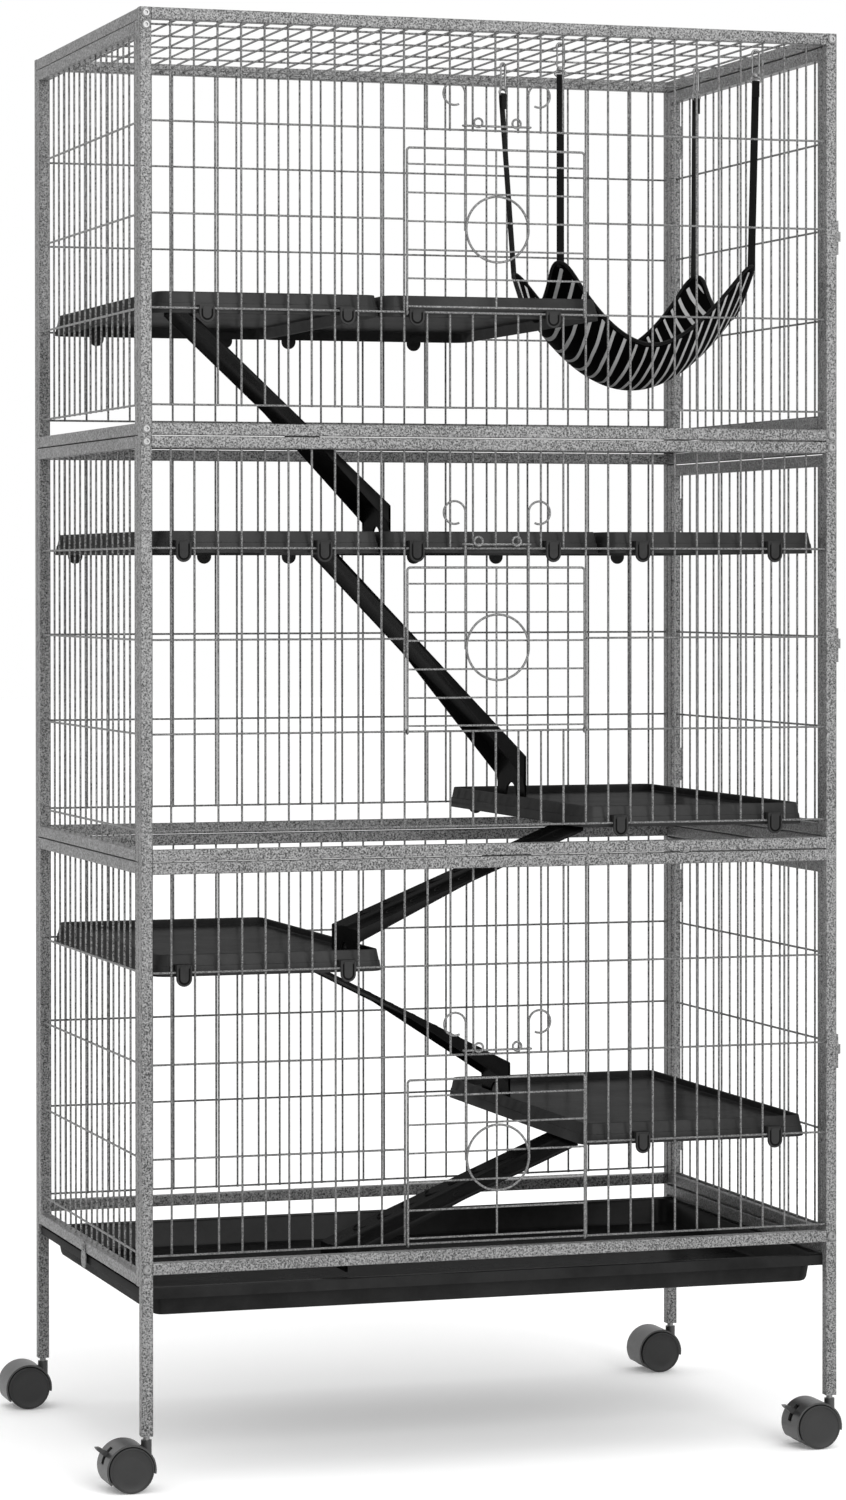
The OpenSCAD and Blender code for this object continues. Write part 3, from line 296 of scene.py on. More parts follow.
class Build:
    """Collects several closed shells into one mesh."""

    def __init__(self):
        self.v, self.f = [], []

    def add(self, verts, faces):
        k = len(self.v)
        self.v += [tuple(p) for p in verts]
        self.f += [tuple(i + k for i in f) for f in faces]

    def rings(self, rings, closed=False, caps=True):
        """Skins a list of equal rings; closed joins the last to the first."""
        n = len(rings[0])
        verts = [p for r in rings for p in r]
        faces = []
        last = len(rings) if closed else len(rings) - 1
        for i in range(last):
            a, b = i * n, ((i + 1) % len(rings)) * n
            faces += [(a + j, a + (j + 1) % n, b + (j + 1) % n, b + j) for j in range(n)]
        if caps and not closed:
            faces += [tuple(range(n))[::-1], tuple((len(rings) - 1) * n + j for j in range(n))]
        self.add(verts, faces)

    def tube(self, path, r, segs=10, closed=False, flat=None, up=None):
        """Round or flat (half width, half thickness) bar along a path of points; up is the wide direction."""
        pts = [Vector(p) for p in path]
        n = len(pts)
        rings = []
        for i, p in enumerate(pts):
            a = pts[(i - 1) % n] if (closed or i) else p
            b = pts[(i + 1) % n] if (closed or i < n - 1) else p
            t = (b - a).normalized()
            if up is None:
                up = Vector((0, 1, 0)) if abs(t.y) < 0.9 else Vector((1, 0, 0))
            up = (up - t * up.dot(t)).normalized()
            side = t.cross(up)
            rr = r[i] if isinstance(r, (list, tuple)) else r
            if flat:
                w, h = flat
                rings.append([p + up * (w * c) + side * (h * s) for c, s in FLAT_BAR])
            else:
                rings.append([p + up * (rr * math.cos(x)) + side * (rr * math.sin(x))
                              for x in (2 * math.pi * k / segs for k in range(segs))])
        self.rings(rings, closed)

    def lathe(self, profile, origin, axis="y", segs=64):
        """Turns (r, h) points about an axis through origin; the profile starts and ends on the axis."""
        ox, oy, oz = origin
        rings = []
        for k in range(segs):
            a = 2 * math.pi * k / segs
            c, s = math.cos(a), math.sin(a)
            if axis == "y":
                rings.append([(ox + r * c, oy + h, oz + r * s) for r, h in profile])
            else:
                rings.append([(ox + r * c, oy + r * s, oz + h) for r, h in profile])
        n = len(profile)
        verts = [p for r in rings for p in r]
        faces = []
        for i in range(segs):
            a, b = i * n, ((i + 1) % segs) * n
            faces += [(a + j, a + j + 1, b + j + 1, b + j) for j in range(n - 1)]
        self.add(verts, faces)

    def merged(self, dist=1e-6):
        me = bpy.data.meshes.new("part")
        me.from_pydata(self.v, [], self.f)
        bm = bmesh.new()
        bm.from_mesh(me)
        bmesh.ops.remove_doubles(bm, verts=bm.verts, dist=dist)
        bmesh.ops.recalc_face_normals(bm, faces=bm.faces)
        bm.to_mesh(me)
        bm.free()
        return me

    def make(self, name, material, body, replaces=(), angle=35.0):
        return adopt(self.merged(), name, material, body, replaces, angle)


# ---------------------------------------------------------------- shared sizes, in millimetres as in the CAD

CAGE_W, CAGE_D, TUBE = 800.0, 514.0, 12.7
HALF_W, HALF_D = CAGE_W / 2, CAGE_D / 2
POST_X, POST_Y = HALF_W - TUBE / 2, HALF_D - TUBE / 2
PITCH = 26.1
WIRE_R = 1.2
CROSS_Y = POST_Y + 2.0
TIER_HI, TIER_LO, BASE_Z = 1123.0, 668.0, 214.5
# heights of three cross wires above a tier seam
ROW_A, ROW_B, ROW_D = 33.0, 136.2, 335.0
SHIFT_X = sum(c.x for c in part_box("roof_panel")) / 2 / MM


def W(x, y, z):
    """A point in the cage's own millimetres as metres in the row frame."""
    return Vector(((x + SHIFT_X) * MM, y * MM, z * MM))


# ---------------------------------------------------------------- carried over CAD nodes

FINISH = {
    "post_": M_FRAME, "roof_": M_FRAME, "left_panel": M_FRAME, "rear_panel": M_FRAME,
    "front_rails": M_FRAME, "side_rails": M_FRAME, "side_door_": M_FRAME, "tray_lock_tab": M_FRAME,
    "front_mesh": M_WIRE, "front_door": M_DOOR, "lock_bar": M_DOOR, "latch_knob": M_LATCH,
    "shelf": M_SHELF, "ramp": M_RAMP, "tray": M_TRAY, "tray_runners": M_TRAY,
    "hammock_cloth": M_CLOTH, "hammock_straps": M_WEB, "hammock_clips": M_CLIP,
    "frame_bolts": M_BOLT, "caster_stems": M_BOLT, "caster_hood": M_HOOD, "caster_brake": M_HOOD,
    "caster_wheels": M_WHEEL,
}
for name, obj in NODES.items():
    key = max((k for k in FINISH if name.startswith(k)), key=len)
    obj.data.materials.clear()
    obj.data.materials.append(FINISH[key])
    for p in obj.data.polygons:
        p.material_index = 0
    smooth(obj, 40.0)


# ---------------------------------------------------------------- moulded shelves and tray

def ring_rect(x0, x1, y0, y1, r, z, n=7):
    """Points round a rectangle with rounded corners."""
    out = []
    for cx, cy, a0 in ((x1 - r, y1 - r, 0), (x0 + r, y1 - r, 90), (x0 + r, y0 + r, 180), (x1 - r, y0 + r, 270)):
        for k in range(n + 1):
            a = math.radians(a0 + 90 * k / n)
            out.append(W(cx + r * math.cos(a), cy + r * math.sin(a), z))
    return out


def cut_boxes(me, boxes):
    """Takes boxes, in cage millimetres, out of a closed mesh."""
    o = bpy.data.objects.new("cutting", me)
    bpy.context.scene.collection.objects.link(o)
    tools = []
    for i, (lo, hi) in enumerate(boxes):
        b = Build()
        b.rings([ring_rect(lo[0], hi[0], lo[1], hi[1], 4.0, z) for z in (lo[2], hi[2])])
        t = bpy.data.objects.new(f"cutter_{i}", b.merged())
        bpy.context.scene.collection.objects.link(t)
        mod = o.modifiers.new("cut", "BOOLEAN")
        mod.operation, mod.solver, mod.object = "DIFFERENCE", "EXACT", t
        tools.append(t)
    out = bpy.data.meshes.new_from_object(o.evaluated_get(bpy.context.evaluated_depsgraph_get()))
    for t in tools + [o]:
        bpy.data.objects.remove(t)
    return out


# shelf depth, rim above its wire, floor and skirt below the rim, hook tabs' width and drop
SHELF_D, RIM_UP, PAN, SKIRT, TAB_W, TAB_DROP = 480.0, 18.5, 9.0, 23.5, 17.4, 15.0
# name, left and right end, wire that carries it, hooks in wire pitches, rise of the hook tabs
SHELVES = [
    ("shelf_1_left", -377, -132, TIER_HI + ROW_B, (-12.5, -6.5), 3.4),
    ("shelf_1_centre", -122, 121, TIER_HI + ROW_B, (-3.5, 2.5), 3.4),
    ("shelf_2_left", -377, -132, TIER_LO + ROW_D, (-13.5, -7.5), 8.5),
    ("shelf_2_centre", -122, 121, TIER_LO + ROW_D, (-3.5, 2.5), 8.5),
    ("shelf_2_right", 134, 376, TIER_LO + ROW_D, (6.5, 12.5), 8.5),
    ("shelf_3_right", 108, 362, TIER_LO + ROW_A, (5.5, 12.5), 8.5),
    ("shelf_4_left", -377, -130, BASE_Z + ROW_D, (-13.5, -6.5), 8.5),
    ("shelf_5_right", 107, 365, BASE_Z + ROW_B, (6.5, 12.5), 8.5),
]
# openings over a ramp: left end, near side, width
HATCH = {"shelf_1_left": (-342, -215, 124), "shelf_2_centre": (-111, 17, 124)}
HATCH_D = 104.0


def prism(b, poly, put, depth):
    """A plate: poly is a list of 2D points, put(a, b, c) places them, c runs from 0 to depth."""
    n = len(poly)
    walls = [(i, (i + 1) % n, n + (i + 1) % n, n + i) for i in range(n)]
    b.add([put(x, y, 0) for x, y in poly] + [put(x, y, depth) for x, y in poly],
          [tuple(range(n))[::-1], tuple(range(n, 2 * n))] + walls)


def tongue(w, top, drop, cut=0.0, n=12):
    """Outline of a hook tab: square at the top, round at the bottom."""
    r = w / 2 - cut
    pts = [(r, top), (-r, top)]
    pts += [(-r * math.cos(math.pi * k / n), -(drop - w / 2) - r * math.sin(math.pi * k / n)) for k in range(n + 1)]
    return pts


# dark plates of painted shade for the floors of the hook grooves, collected from all shelves
groove_shade = Build()


def hook(b, x, sy, z, rise):
    """Hook tab of a shelf over the cross wire at height z, with a U shaped groove in its face and a dark plate of
    painted shade on the groove's floor.
    """
    y0 = CROSS_Y + WIRE_R + 0.3
    put = lambda a, c, d: W(x + a, sy * (y0 + d), z + c)
    prism(b, tongue(TAB_W, rise, TAB_DROP), put, 1.0)
    # raised rim, and a raised middle inside it
    outer, inner = tongue(TAB_W, rise, TAB_DROP, 0.35), tongue(TAB_W, rise - 2.5, TAB_DROP, 2.1)
    n = len(outer)
    rings = [[put(*p, d) for p in outer] for d in (1.0, 2.2)] + [[put(*p, d) for p in inner] for d in (2.2, 0.9)]
    faces = []
    for i in range(3):
        k, k2 = i * n, (i + 1) * n
        faces += [(k + j, k + (j + 1) % n, k2 + (j + 1) % n, k2 + j) for j in range(1, n)]
    b.add([p for r in rings for p in r], faces)
    prism(b, tongue(TAB_W, rise - 1.5, TAB_DROP, 4.1), lambda a, c, d: put(a, c, 0.9 + d), 1.2)
    # dark plate of painted shade on the groove's floor
    prism(groove_shade, tongue(TAB_W, rise - 4.0, TAB_DROP, 2.2), lambda a, c, d: put(a, c, 1.02 + d), 0.1)
    y_in = SHELF_D / 2 - 1
    lo, hi = z + WIRE_R + 0.3, z + rise
    poly = [(y_in, lo), (y0 + 0.1, lo), (y0 + 0.9, hi - 0.5), (y0 + 0.4, hi), (y_in, hi)]
    prism(b, poly, lambda a, c, d: W(x - TAB_W / 2 + d, sy * a, c), TAB_W)


# shelf wall in section from the floor's top over the rim and down the skirt: out from the edge, up from the rim
SHELF_WALL = [
    (-4.6, -9.0), (-2.2, -8.6), (-1.0, -7.4), (-2.2, -1.3), (-1.9, -0.4), (-1.2, 0.0), (-0.5, -0.05),
    (0.0, -0.5), (0.25, -1.4), (2.55, -12.2), (3.25, -12.6), (3.45, -13.6), (4.8, -22.6), (4.7, -23.3),
    (4.0, -23.5), (2.9, -23.5), (2.55, -23.0), (0.6, -13.0), (-0.6, -11.8), (-3.0, -11.5),
]
RIB_FACES = [(0, 1, 5, 4), (1, 2, 6, 5), (2, 3, 7, 6), (0, 4, 7, 3), (0, 3, 2, 1), (4, 5, 6, 7)]


def shelf(name, x0, x1, wire, hooks, rise):
    """Moulded pan with a rolled rim, a flared skirt, hook tabs and slanted ribs."""
    top = wire + RIM_UP
    y = SHELF_D / 2
    b = Build()
    b.rings([ring_rect(x0 - d, x1 + d, -y - d, y + d, max(12 + d, 3), top + z) for d, z in SHELF_WALL])
    me = b.merged()
    if name in HATCH:
        hx, hy, hw = HATCH[name]
        me = cut_boxes(me, [((hx, hy, top - PAN - 6), (hx + hw, hy + HATCH_D, top - PAN + 3))])
    b = Build()
    b.add([v.co for v in me.vertices], [tuple(p.vertices) for p in me.polygons])
    for h in hooks:
        for sy in (-1, 1):
            hook(b, h * PITCH, sy, wire, rise)

    def rib(px, py, ux, uy, nx, ny):
        """Shallow slanted rib pressed into the skirt's upper band."""
        pts = []
        for zz, dd, lean in ((-2.0, 0.35, -1.8), (-11.6, 2.35, 2.2)):
            for side, lift in ((-9.0, 0.0), (-3.0, 0.4), (1.0, 0.9), (1.3, 0.0)):
                a = lean + side
                pts.append(W(px + ux * a + nx * (dd + lift), py + uy * a + ny * (dd + lift), top + zz))
        b.add(pts, RIB_FACES)

    for sy in (-1, 1):
        k = math.ceil((x0 + 20) / PITCH)
        while k * PITCH < x1 - 20:
            if all(abs(k * PITCH - h * PITCH) > 16 for h in hooks):
                rib(k * PITCH + 3, sy * y, 1, 0, 0, sy)
            k += 1
    for sx, xe in ((-1, x0), (1, x1)):
        for k in range(-8, 9):
            rib(xe, k * PITCH, 0, 1, sx, 0)
    b.make(name + "_moulded", M_SHELF, "cage", [name], 38.0)


for row in SHELVES:
    shelf(*row)
# the painted shade in the hook grooves, as one piece
groove_shade.make("shelf_hook_groove_shade", M_GROOVE_SHADE, "cage")

# top of the tray's rim, its depth, height of the turned down rim, half length and half width
TRAY_TOP, TRAY_H, RIM_H = 211.8, 31.8, 9.3
TRAY_L, TRAY_Y = HALF_W - 2, HALF_D - TUBE - 0.8


def tray():
    """Tray wall in rings, from the floor over the flange and back under it.

    Each ring: in from the ends, in from the sides, corner radius, height.
    """
    low, rim = TRAY_TOP - TRAY_H, TRAY_TOP - RIM_H
    rows = [
        (24.0, 21.5, 8, low + 2.2), (21.0, 18.5, 11, low + 3.0), (19.4, 16.9, 13, low + 6.0),
        (16.6, 14.1, 14, TRAY_TOP - 2.5), (15.6, 13.1, 15, TRAY_TOP - 0.6), (14.2, 11.7, 16, TRAY_TOP),
        (2.0, 2.0, 5, TRAY_TOP), (0.6, 0.6, 5.6, TRAY_TOP - 0.4), (0.0, 0.0, 6, TRAY_TOP - 1.6),
        (0.0, 0.0, 6, rim + 0.4), (0.5, 0.5, 6, rim), (1.9, 1.9, 5, rim), (2.2, 2.2, 4.6, rim + 0.5),
        (2.2, 2.2, 4.6, TRAY_TOP - 2.2), (14.2, 11.7, 16, TRAY_TOP - 2.4),
        (18.4, 15.9, 13, low + 4.5), (20.0, 17.5, 12, low + 1.2), (23.0, 20.5, 9, low),
    ]
    b = Build()
    b.rings([ring_rect(-TRAY_L + dx, TRAY_L - dx, -TRAY_Y + dy, TRAY_Y - dy, r, z) for dx, dy, r, z in rows])
    b.make("tray_moulded", M_TRAY, "tray", ["tray"], 32.0)


tray()


# ---------------------------------------------------------------- moulded ramps

RAMP_W, RAMP_T, RAMP_THIN = 98.0, 2.4, 3.6
LEVELS = (TIER_HI + ROW_B, TIER_LO + ROW_D, TIER_LO + ROW_A, BASE_Z + ROW_D, BASE_Z + ROW_B)
# shelf floors from the top down, and the lower edges of the last three shelves
FLOOR = [w + RIM_UP - PAN for w in LEVELS]
LOW = [w + RIM_UP - SKIRT for w in LEVELS[2:]]
# upper end of the tread, lower end, what the foot stands on, near side, top of the tongue
RAMPS = [
    ((-338, FLOOR[0] - 5.8), (-108, FLOOR[1] + 38), FLOOR[1] + 0.3, -212, FLOOR[0] + 2.7),
    ((-107, FLOOR[1] - 5.8), (128, FLOOR[2] + 54), FLOOR[2] + 0.3, 20, FLOOR[1] + 2.7),
    ((114, LOW[0] - 1), (-148, FLOOR[3] + 28), FLOOR[3] + 0.3, -216, FLOOR[2] - 2.8),
    ((-157, LOW[1] + 1), (115, FLOOR[4] + 47), FLOOR[4] + 0.3, 40, FLOOR[3] - 2.8),
    ((112, LOW[2] - 1), (-157.3, TRAY_TOP + 21.5), TRAY_TOP + 0.5, -203, FLOOR[4] - 2.8),
]


# raised cleats: spacing along the tread, first one, distance of the last one from the foot
CLEAT_STEP, CLEAT_FIRST, CLEAT_LAST = 30.0, 26.0, 22.0


def cleat_curve():
    """A curled cleat as offsets along and across the tread."""
    curve = []
    for j in range(13):
        ang = math.radians(-70 + 150 * j / 12)
        curve.append((12.5 * math.cos(ang) - 8, 12.5 * math.sin(ang)))
    along, across = curve[-1]
    for j in range(1, 5):
        ang = math.radians(-100 + 28 * j) + 1.7
        curve.append((along - 4.5 + 4.5 * math.sin(ang), across + 1.32 * j))
    return curve


CLEAT = cleat_curve()
CLEAT_R = [0.0003 + 0.0007 * math.sin(math.pi * (q + 1) / len(CLEAT)) for q in range(len(CLEAT))]


def ramp(i, a, b2, foot, y0, up):
    """Tread with side walls that deepen towards the foot, an end wall, a tongue and cleats."""
    (ax, az), (bx, bz) = a, b2
    s = 1 if bx > ax else -1
    run, drop = abs(bx - ax), az - bz
    ln = math.hypot(run, drop)
    cos = run / ln
    ux, uz = ax - RAMP_THIN * drop / ln * s, az - RAMP_THIN * cos
    toe = bx - s * 3.4
    toe_z = foot + 0.52 * (bz - foot)
    mx, mz = ux + (bx - ax) / 2, uz - drop / 2
    b = Build()

    def tread_z(x):
        return az - (x - ax) * s * drop / run

    def section(x, low):
        """Outline across the ramp: tread with a raised middle band, side walls down to low."""
        z = tread_z(x)
        t, wall = RAMP_T / cos, RAMP_T
        r, band, up_band = 1.6, (RAMP_W * 0.36, RAMP_W * 0.64), 1.15 / cos
        pts = [(0, low - z), (0, -r), (0.5, -0.45), (r, 0)]
        pts += [(band[0] - 1.5, 0), (band[0], up_band), (band[1], up_band), (band[1] + 1.5, 0)]
        pts += [(RAMP_W - r, 0), (RAMP_W - 0.5, -0.45), (RAMP_W, -r), (RAMP_W, low - z)]
        pts += [(RAMP_W - wall, low - z), (RAMP_W - wall, -t - 1), (RAMP_W - wall - 1, -t)]
        pts += [(wall + 1, -t), (wall, -t - 1), (wall, low - z)]
        return [W(x, y0 + p, z + q) for p, q in pts]

    def low_at(x):
        """Lower edge of the side walls: beside the tread to mid length, then down to the toe."""
        if (x - mx) * s < 0:
            return uz + (x - ux) / (mx - ux) * (mz - uz)
        return mz + (x - mx) / (toe - mx) * (toe_z - mz)

    n = 12
    xs = [ax + (toe - ax) * k / n for k in range(n + 1)]
    b.rings([section(x, min(low_at(x), tread_z(x) - RAMP_T / cos - 1.5)) for x in xs]
            + [section(bx - s * 0.01, foot)])
    # end wall, with an arch where it is tall enough
    h = bz - foot
    arch = []
    if h > 22:
        ra = h * 0.4
        turns = [math.pi * k / 16 for k in range(17)]
        arch = [(RAMP_W / 2 - ra * math.cos(a), ra * math.sin(a)) for a in turns]
    poly = [(0, 0)] + arch + [(RAMP_W, 0), (RAMP_W, h - 1), (0, h - 1)]
    prism(b, poly, lambda p, q, d: W(bx - s * d, y0 + p, foot + q), RAMP_T)
    # tongue at the upper end
    if i < 2:
        poly = [(ax - 3, az - 1), (ax + 0.1, az - 2), (ax + 0.1, up - 0.6), (ax - 0.5, up),
                (ax - 13.1, up), (ax - 13.6, up - 0.6), (ax - 13.6, up - 2.4), (ax - 3, up - 2.4)]
    else:
        poly = [(ax, az - 3), (ax + s * 2.4, az - 3), (ax + s * 2.4, up), (ax, up)]
    prism(b, poly, lambda p, q, d: W(p, y0 + 10 + d, q), RAMP_W - 20)
    # curled cleats on both sides of the middle band, half a step apart
    t = CLEAT_FIRST
    while t < ln - CLEAT_LAST:
        for side in (0, 1):
            tt = t + (CLEAT_STEP / 2 if side else 0)
            if tt > ln - CLEAT_LAST:
                continue
            path = []
            for du, dv in CLEAT:
                v = (RAMP_W * 0.18 + dv) if side == 0 else (RAMP_W * 0.82 - dv)
                u = tt + du
                path.append(W(ax + s * u * cos, y0 + v, az - u * drop / ln + 0.15))
            b.tube(path, CLEAT_R, 6)
        t += CLEAT_STEP
    b.make(f"ramp_{i + 1}_moulded", M_RAMP, "cage", [f"ramp_{i + 1}"], 40.0)


for i, row in enumerate(RAMPS):
    ramp(i, *row)


# ---------------------------------------------------------------- hammock

# the four corners of the cloth and the four snap hooks, in the same order
EAR_Z = 1326
SLING = [Vector((117.5, -130, EAR_Z)), Vector((347, -133, EAR_Z)), Vector((351, 55, EAR_Z)), Vector((133, 72, EAR_Z))]
CLIPS = [(4.5 * PITCH, -130), (13.5 * PITCH, -133), (13.5 * PITCH, 55), (4.5 * PITCH, 72)]
# flat cut in metres: length, width, corner radius, and how far the sides are hollowed as a share
FLAT_X, FLAT_Y, EAR = 0.345, 0.262, 0.036
WAIST_X, WAIST_Y = 0.16, 0.27
# layout of the printed stripes: length, width and hollow of their own, less than the cut's
PRINT_X, PRINT_Y, PRINT_WAIST_X, PRINT_WAIST_Y = 0.320, 0.262, 0.02, 0.12
# first guess of the hung shape in millimetres: sag along, sag across, and how far the sides draw in
SAG_ALONG, SAG_ACROSS, SAG_MIDDLE = 106, 74, 2
DRAW_ENDS, DRAW_SIDES = 5, 24
NU, NV = 46, 34
CORNERS = [0, NU, NV * (NU + 1) + NU, NV * (NU + 1)]
# radius held round each corner, slack of the cloth, and the frames that it settles over
PIN_R, SLACK, FRAMES = 0.011, 0.025, 50


def ear_point(u, v):
    """Moves a point of the square -1 to 1 so that its corners come out round; the result stays in the square."""
    hx, hy = FLAT_X / 2, FLAT_Y / 2
    m = max(abs(u), abs(v))
    if m == 0:
        return 0.0, 0.0
    ox, oy = abs(u / m) * hx, abs(v / m) * hy
    cx, cy = hx - EAR, hy - EAR
    s = 1.0
    if ox > cx and oy > cy:
        lo, hi = 0.5, 1.0
        for _ in range(30):
            mid = (lo + hi) / 2
            inside = max(ox * mid - cx, 0) ** 2 + max(oy * mid - cy, 0) ** 2 < EAR ** 2
            lo, hi = (mid, hi) if inside else (lo, mid)
        s = lo
    return u * s, v * s


def cut_point(p, q):
    """The cloth's flat cut: a rectangle whose four sides are hollowed, so the corners stand out as ears."""
    return p * FLAT_X / 2 * (1 - WAIST_X * (1 - q * q)), q * FLAT_Y / 2 * (1 - WAIST_Y * (1 - p * p))


def print_point(p, q):
    """The cloth point as the printed stripes take it: they follow the hollowed sides."""
    return p * PRINT_X / 2 * (1 - PRINT_WAIST_X * (1 - q * q)), q * PRINT_Y / 2 * (1 - PRINT_WAIST_Y * (1 - p * p))


def sling_shape(p, q):
    """First guess of the hung shape."""
    u, v = (p + 1) / 2, (q + 1) / 2
    a, b, c, d = SLING
    at = (a * (1 - u) + b * u) * (1 - v) + (d * (1 - u) + c * u) * v
    su, sv = 4 * u * (1 - u), 4 * v * (1 - v)
    sag = SAG_ALONG * su * (1 - 0.25 * sv) + sv * (SAG_ACROSS + SAG_MIDDLE * su ** 0.8)
    return W(*(at + Vector((DRAW_ENDS * (1 - 2 * u) * sv, DRAW_SIDES * (1 - 2 * v) * su, -sag))))


def hung_point(i, j):
    """First guess at a grid point, drawn up so that the four corner points are at the straps."""
    at = sling_shape(*ear_point(2 * i / NU - 1, 2 * j / NV - 1))
    for (cu, cv), tip in zip(((0, 0), (1, 0), (1, 1), (0, 1)), SLING):
        w = (i / NU if cu else 1 - i / NU) * (j / NV if cv else 1 - j / NV)
        at = at + w * (W(*tip) - sling_shape(*ear_point(2 * cu - 1, 2 * cv - 1)))
    return at


def hammock():
    """The flat cut, the hung points after the cloth simulation, and the faces."""
    n = NU + 1
    flat, start = [], []
    for j in range(NV + 1):
        for i in range(NU + 1):
            p, q = ear_point(2 * i / NU - 1, 2 * j / NV - 1)
            flat.append(cut_point(p, q))
            start.append(hung_point(i, j))
    faces = [(k, k + 1, k + n + 1, k + n) for k in (j * n + i for j in range(NV) for i in range(NU))]
    me = bpy.data.meshes.new("cloth")
    me.from_pydata(start, [], faces)
    o = bpy.data.objects.new("cloth_sim", me)
    bpy.context.scene.collection.objects.link(o)
    tips = [flat[c] for c in CORNERS]
    pins = [k for k, (x, y) in enumerate(flat) if min(math.hypot(x - a, y - b) for a, b in tips) < PIN_R]
    g = o.vertex_groups.new(name="pin")
    g.add(pins, 1.0, "REPLACE")
    mod = o.modifiers.new("Cloth", "CLOTH")
    st = mod.settings
    st.quality = 10
    st.mass = 0.25
    st.tension_stiffness = st.compression_stiffness = 30
    st.shear_stiffness = 12
    st.bending_stiffness = 0.25
    st.air_damping = 3.0
    st.vertex_group_mass = "pin"
    # a little slack, so that soft folds form
    st.shrink_min = -SLACK
    mod.collision_settings.use_self_collision = False
    mod.point_cache.frame_start, mod.point_cache.frame_end = 1, FRAMES + 10
    sc = bpy.context.scene
    sc.frame_start, sc.frame_end = 1, FRAMES + 10
    for f in range(1, FRAMES):
        sc.frame_set(f)
    out = bpy.data.meshes.new_from_object(o.evaluated_get(bpy.context.evaluated_depsgraph_get()))
    pos = [v.co.copy() for v in out.vertices]
    sc.frame_set(1)
    bpy.data.objects.remove(o)
    return flat, pos, faces


def hammock_piece():
    """The striped sheet with its sewn binding; returns the four corner points."""
    flat, pos, faces = hammock()
    n = NU + 1
    me = bpy.data.meshes.new("hammock")
    me.from_pydata(pos, [], faces)
    uv = me.uv_layers.new(name="UVMap")
    for loop in me.loops:
        j, i = divmod(loop.vertex_index, n)
        uv.data[loop.index].uv = print_point(*ear_point(2 * i / NU - 1, 2 * j / NV - 1))
    border = me.attributes.new("border", "FLOAT", "POINT")
    for k in range(len(pos)):
        j, i = divmod(k, n)
        border.data[k].value = min(min(i, NU - i) / NU * FLAT_X, min(j, NV - j) / NV * FLAT_Y)
    o = bpy.data.objects.new("hammock_sheet", me)
    bpy.context.scene.collection.objects.link(o)
    me.materials.append(M_CLOTH)
    for p in me.polygons:
        p.use_smooth = True
    mod = o.modifiers.new("subdiv", "SUBSURF")
    mod.levels = mod.render_levels = 1
    mod = o.modifiers.new("thick", "SOLIDIFY")
    mod.thickness = 0.0012
    mod.offset = 0.0
    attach(o, "cage")
    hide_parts("hammock_cloth")
    # sewn binding round the edge
    loop = list(range(NU)) + [j * n + NU for j in range(NV)]
    loop += [NV * n + NU - i for i in range(NU)] + [(NV - j) * n for j in range(NV)]
    b = Build()
    path = []
    for a, c in zip(loop, loop[1:] + loop[:1]):
        path += [pos[a], (pos[a] + pos[c]) / 2]
    b.tube(path, 0.0021, 8, closed=True)
    bind = b.make("hammock_binding", M_BIND, "cage", (), 60.0)
    return [pos[c] for c in CORNERS]


clip_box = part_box("hammock_clips")
HOOK_TOP, EYE_LOW = max(c.z for c in clip_box) / MM, min(c.z for c in clip_box) / MM
# how far each strap and its clip are turned about their own length
TURN = [-17, -17, 24, 30]
# half width and half thickness of the webbing
STRAP = (0.0042, 0.0007)


def straps(tips):
    """Webbing from each corner of the cloth up to its snap hook, turned over the eye and sewn back."""
    b = Build()
    for (x, y), tip, deg in zip(CLIPS, tips, TURN):
        wide = Vector((math.cos(math.radians(deg)), math.sin(math.radians(deg)), 0))
        thick = Vector((-wide.y, wide.x, 0))
        bar = W(x, y, EYE_LOW + 1.2)
        start = tip + thick * 0.0024 - Vector((0, 0, 0.005))
        end = bar + thick * 0.0021 - Vector((0, 0, 0.004))
        path = [start.lerp(end, k / 8) for k in range(9)]
        # over the eye's lower bar and back down, stitched to itself
        for t in (math.pi * k / 8 for k in range(9)):
            path.append(bar + (thick * math.cos(t) + Vector((0, 0, 1)) * math.sin(t)) * 0.0021)
        path += [bar - thick * 0.0019 - Vector((0, 0, z)) for z in (0.004, 0.010, 0.016)]
        b.tube(path, 0, flat=STRAP, up=wide)
    b.make("hammock_straps_sewn", M_WEB, "cage", ["hammock_straps"], 50.0)


# the clip's barrel: radius and height above the eye's lowest point
BARREL = [(0, 7.2), (2.6, 7.2), (4.1, 8.0), (4.4, 9.2), (4.1, 10.6), (3.2, 11.6), (2.2, 12.4), (0, 12.4)]


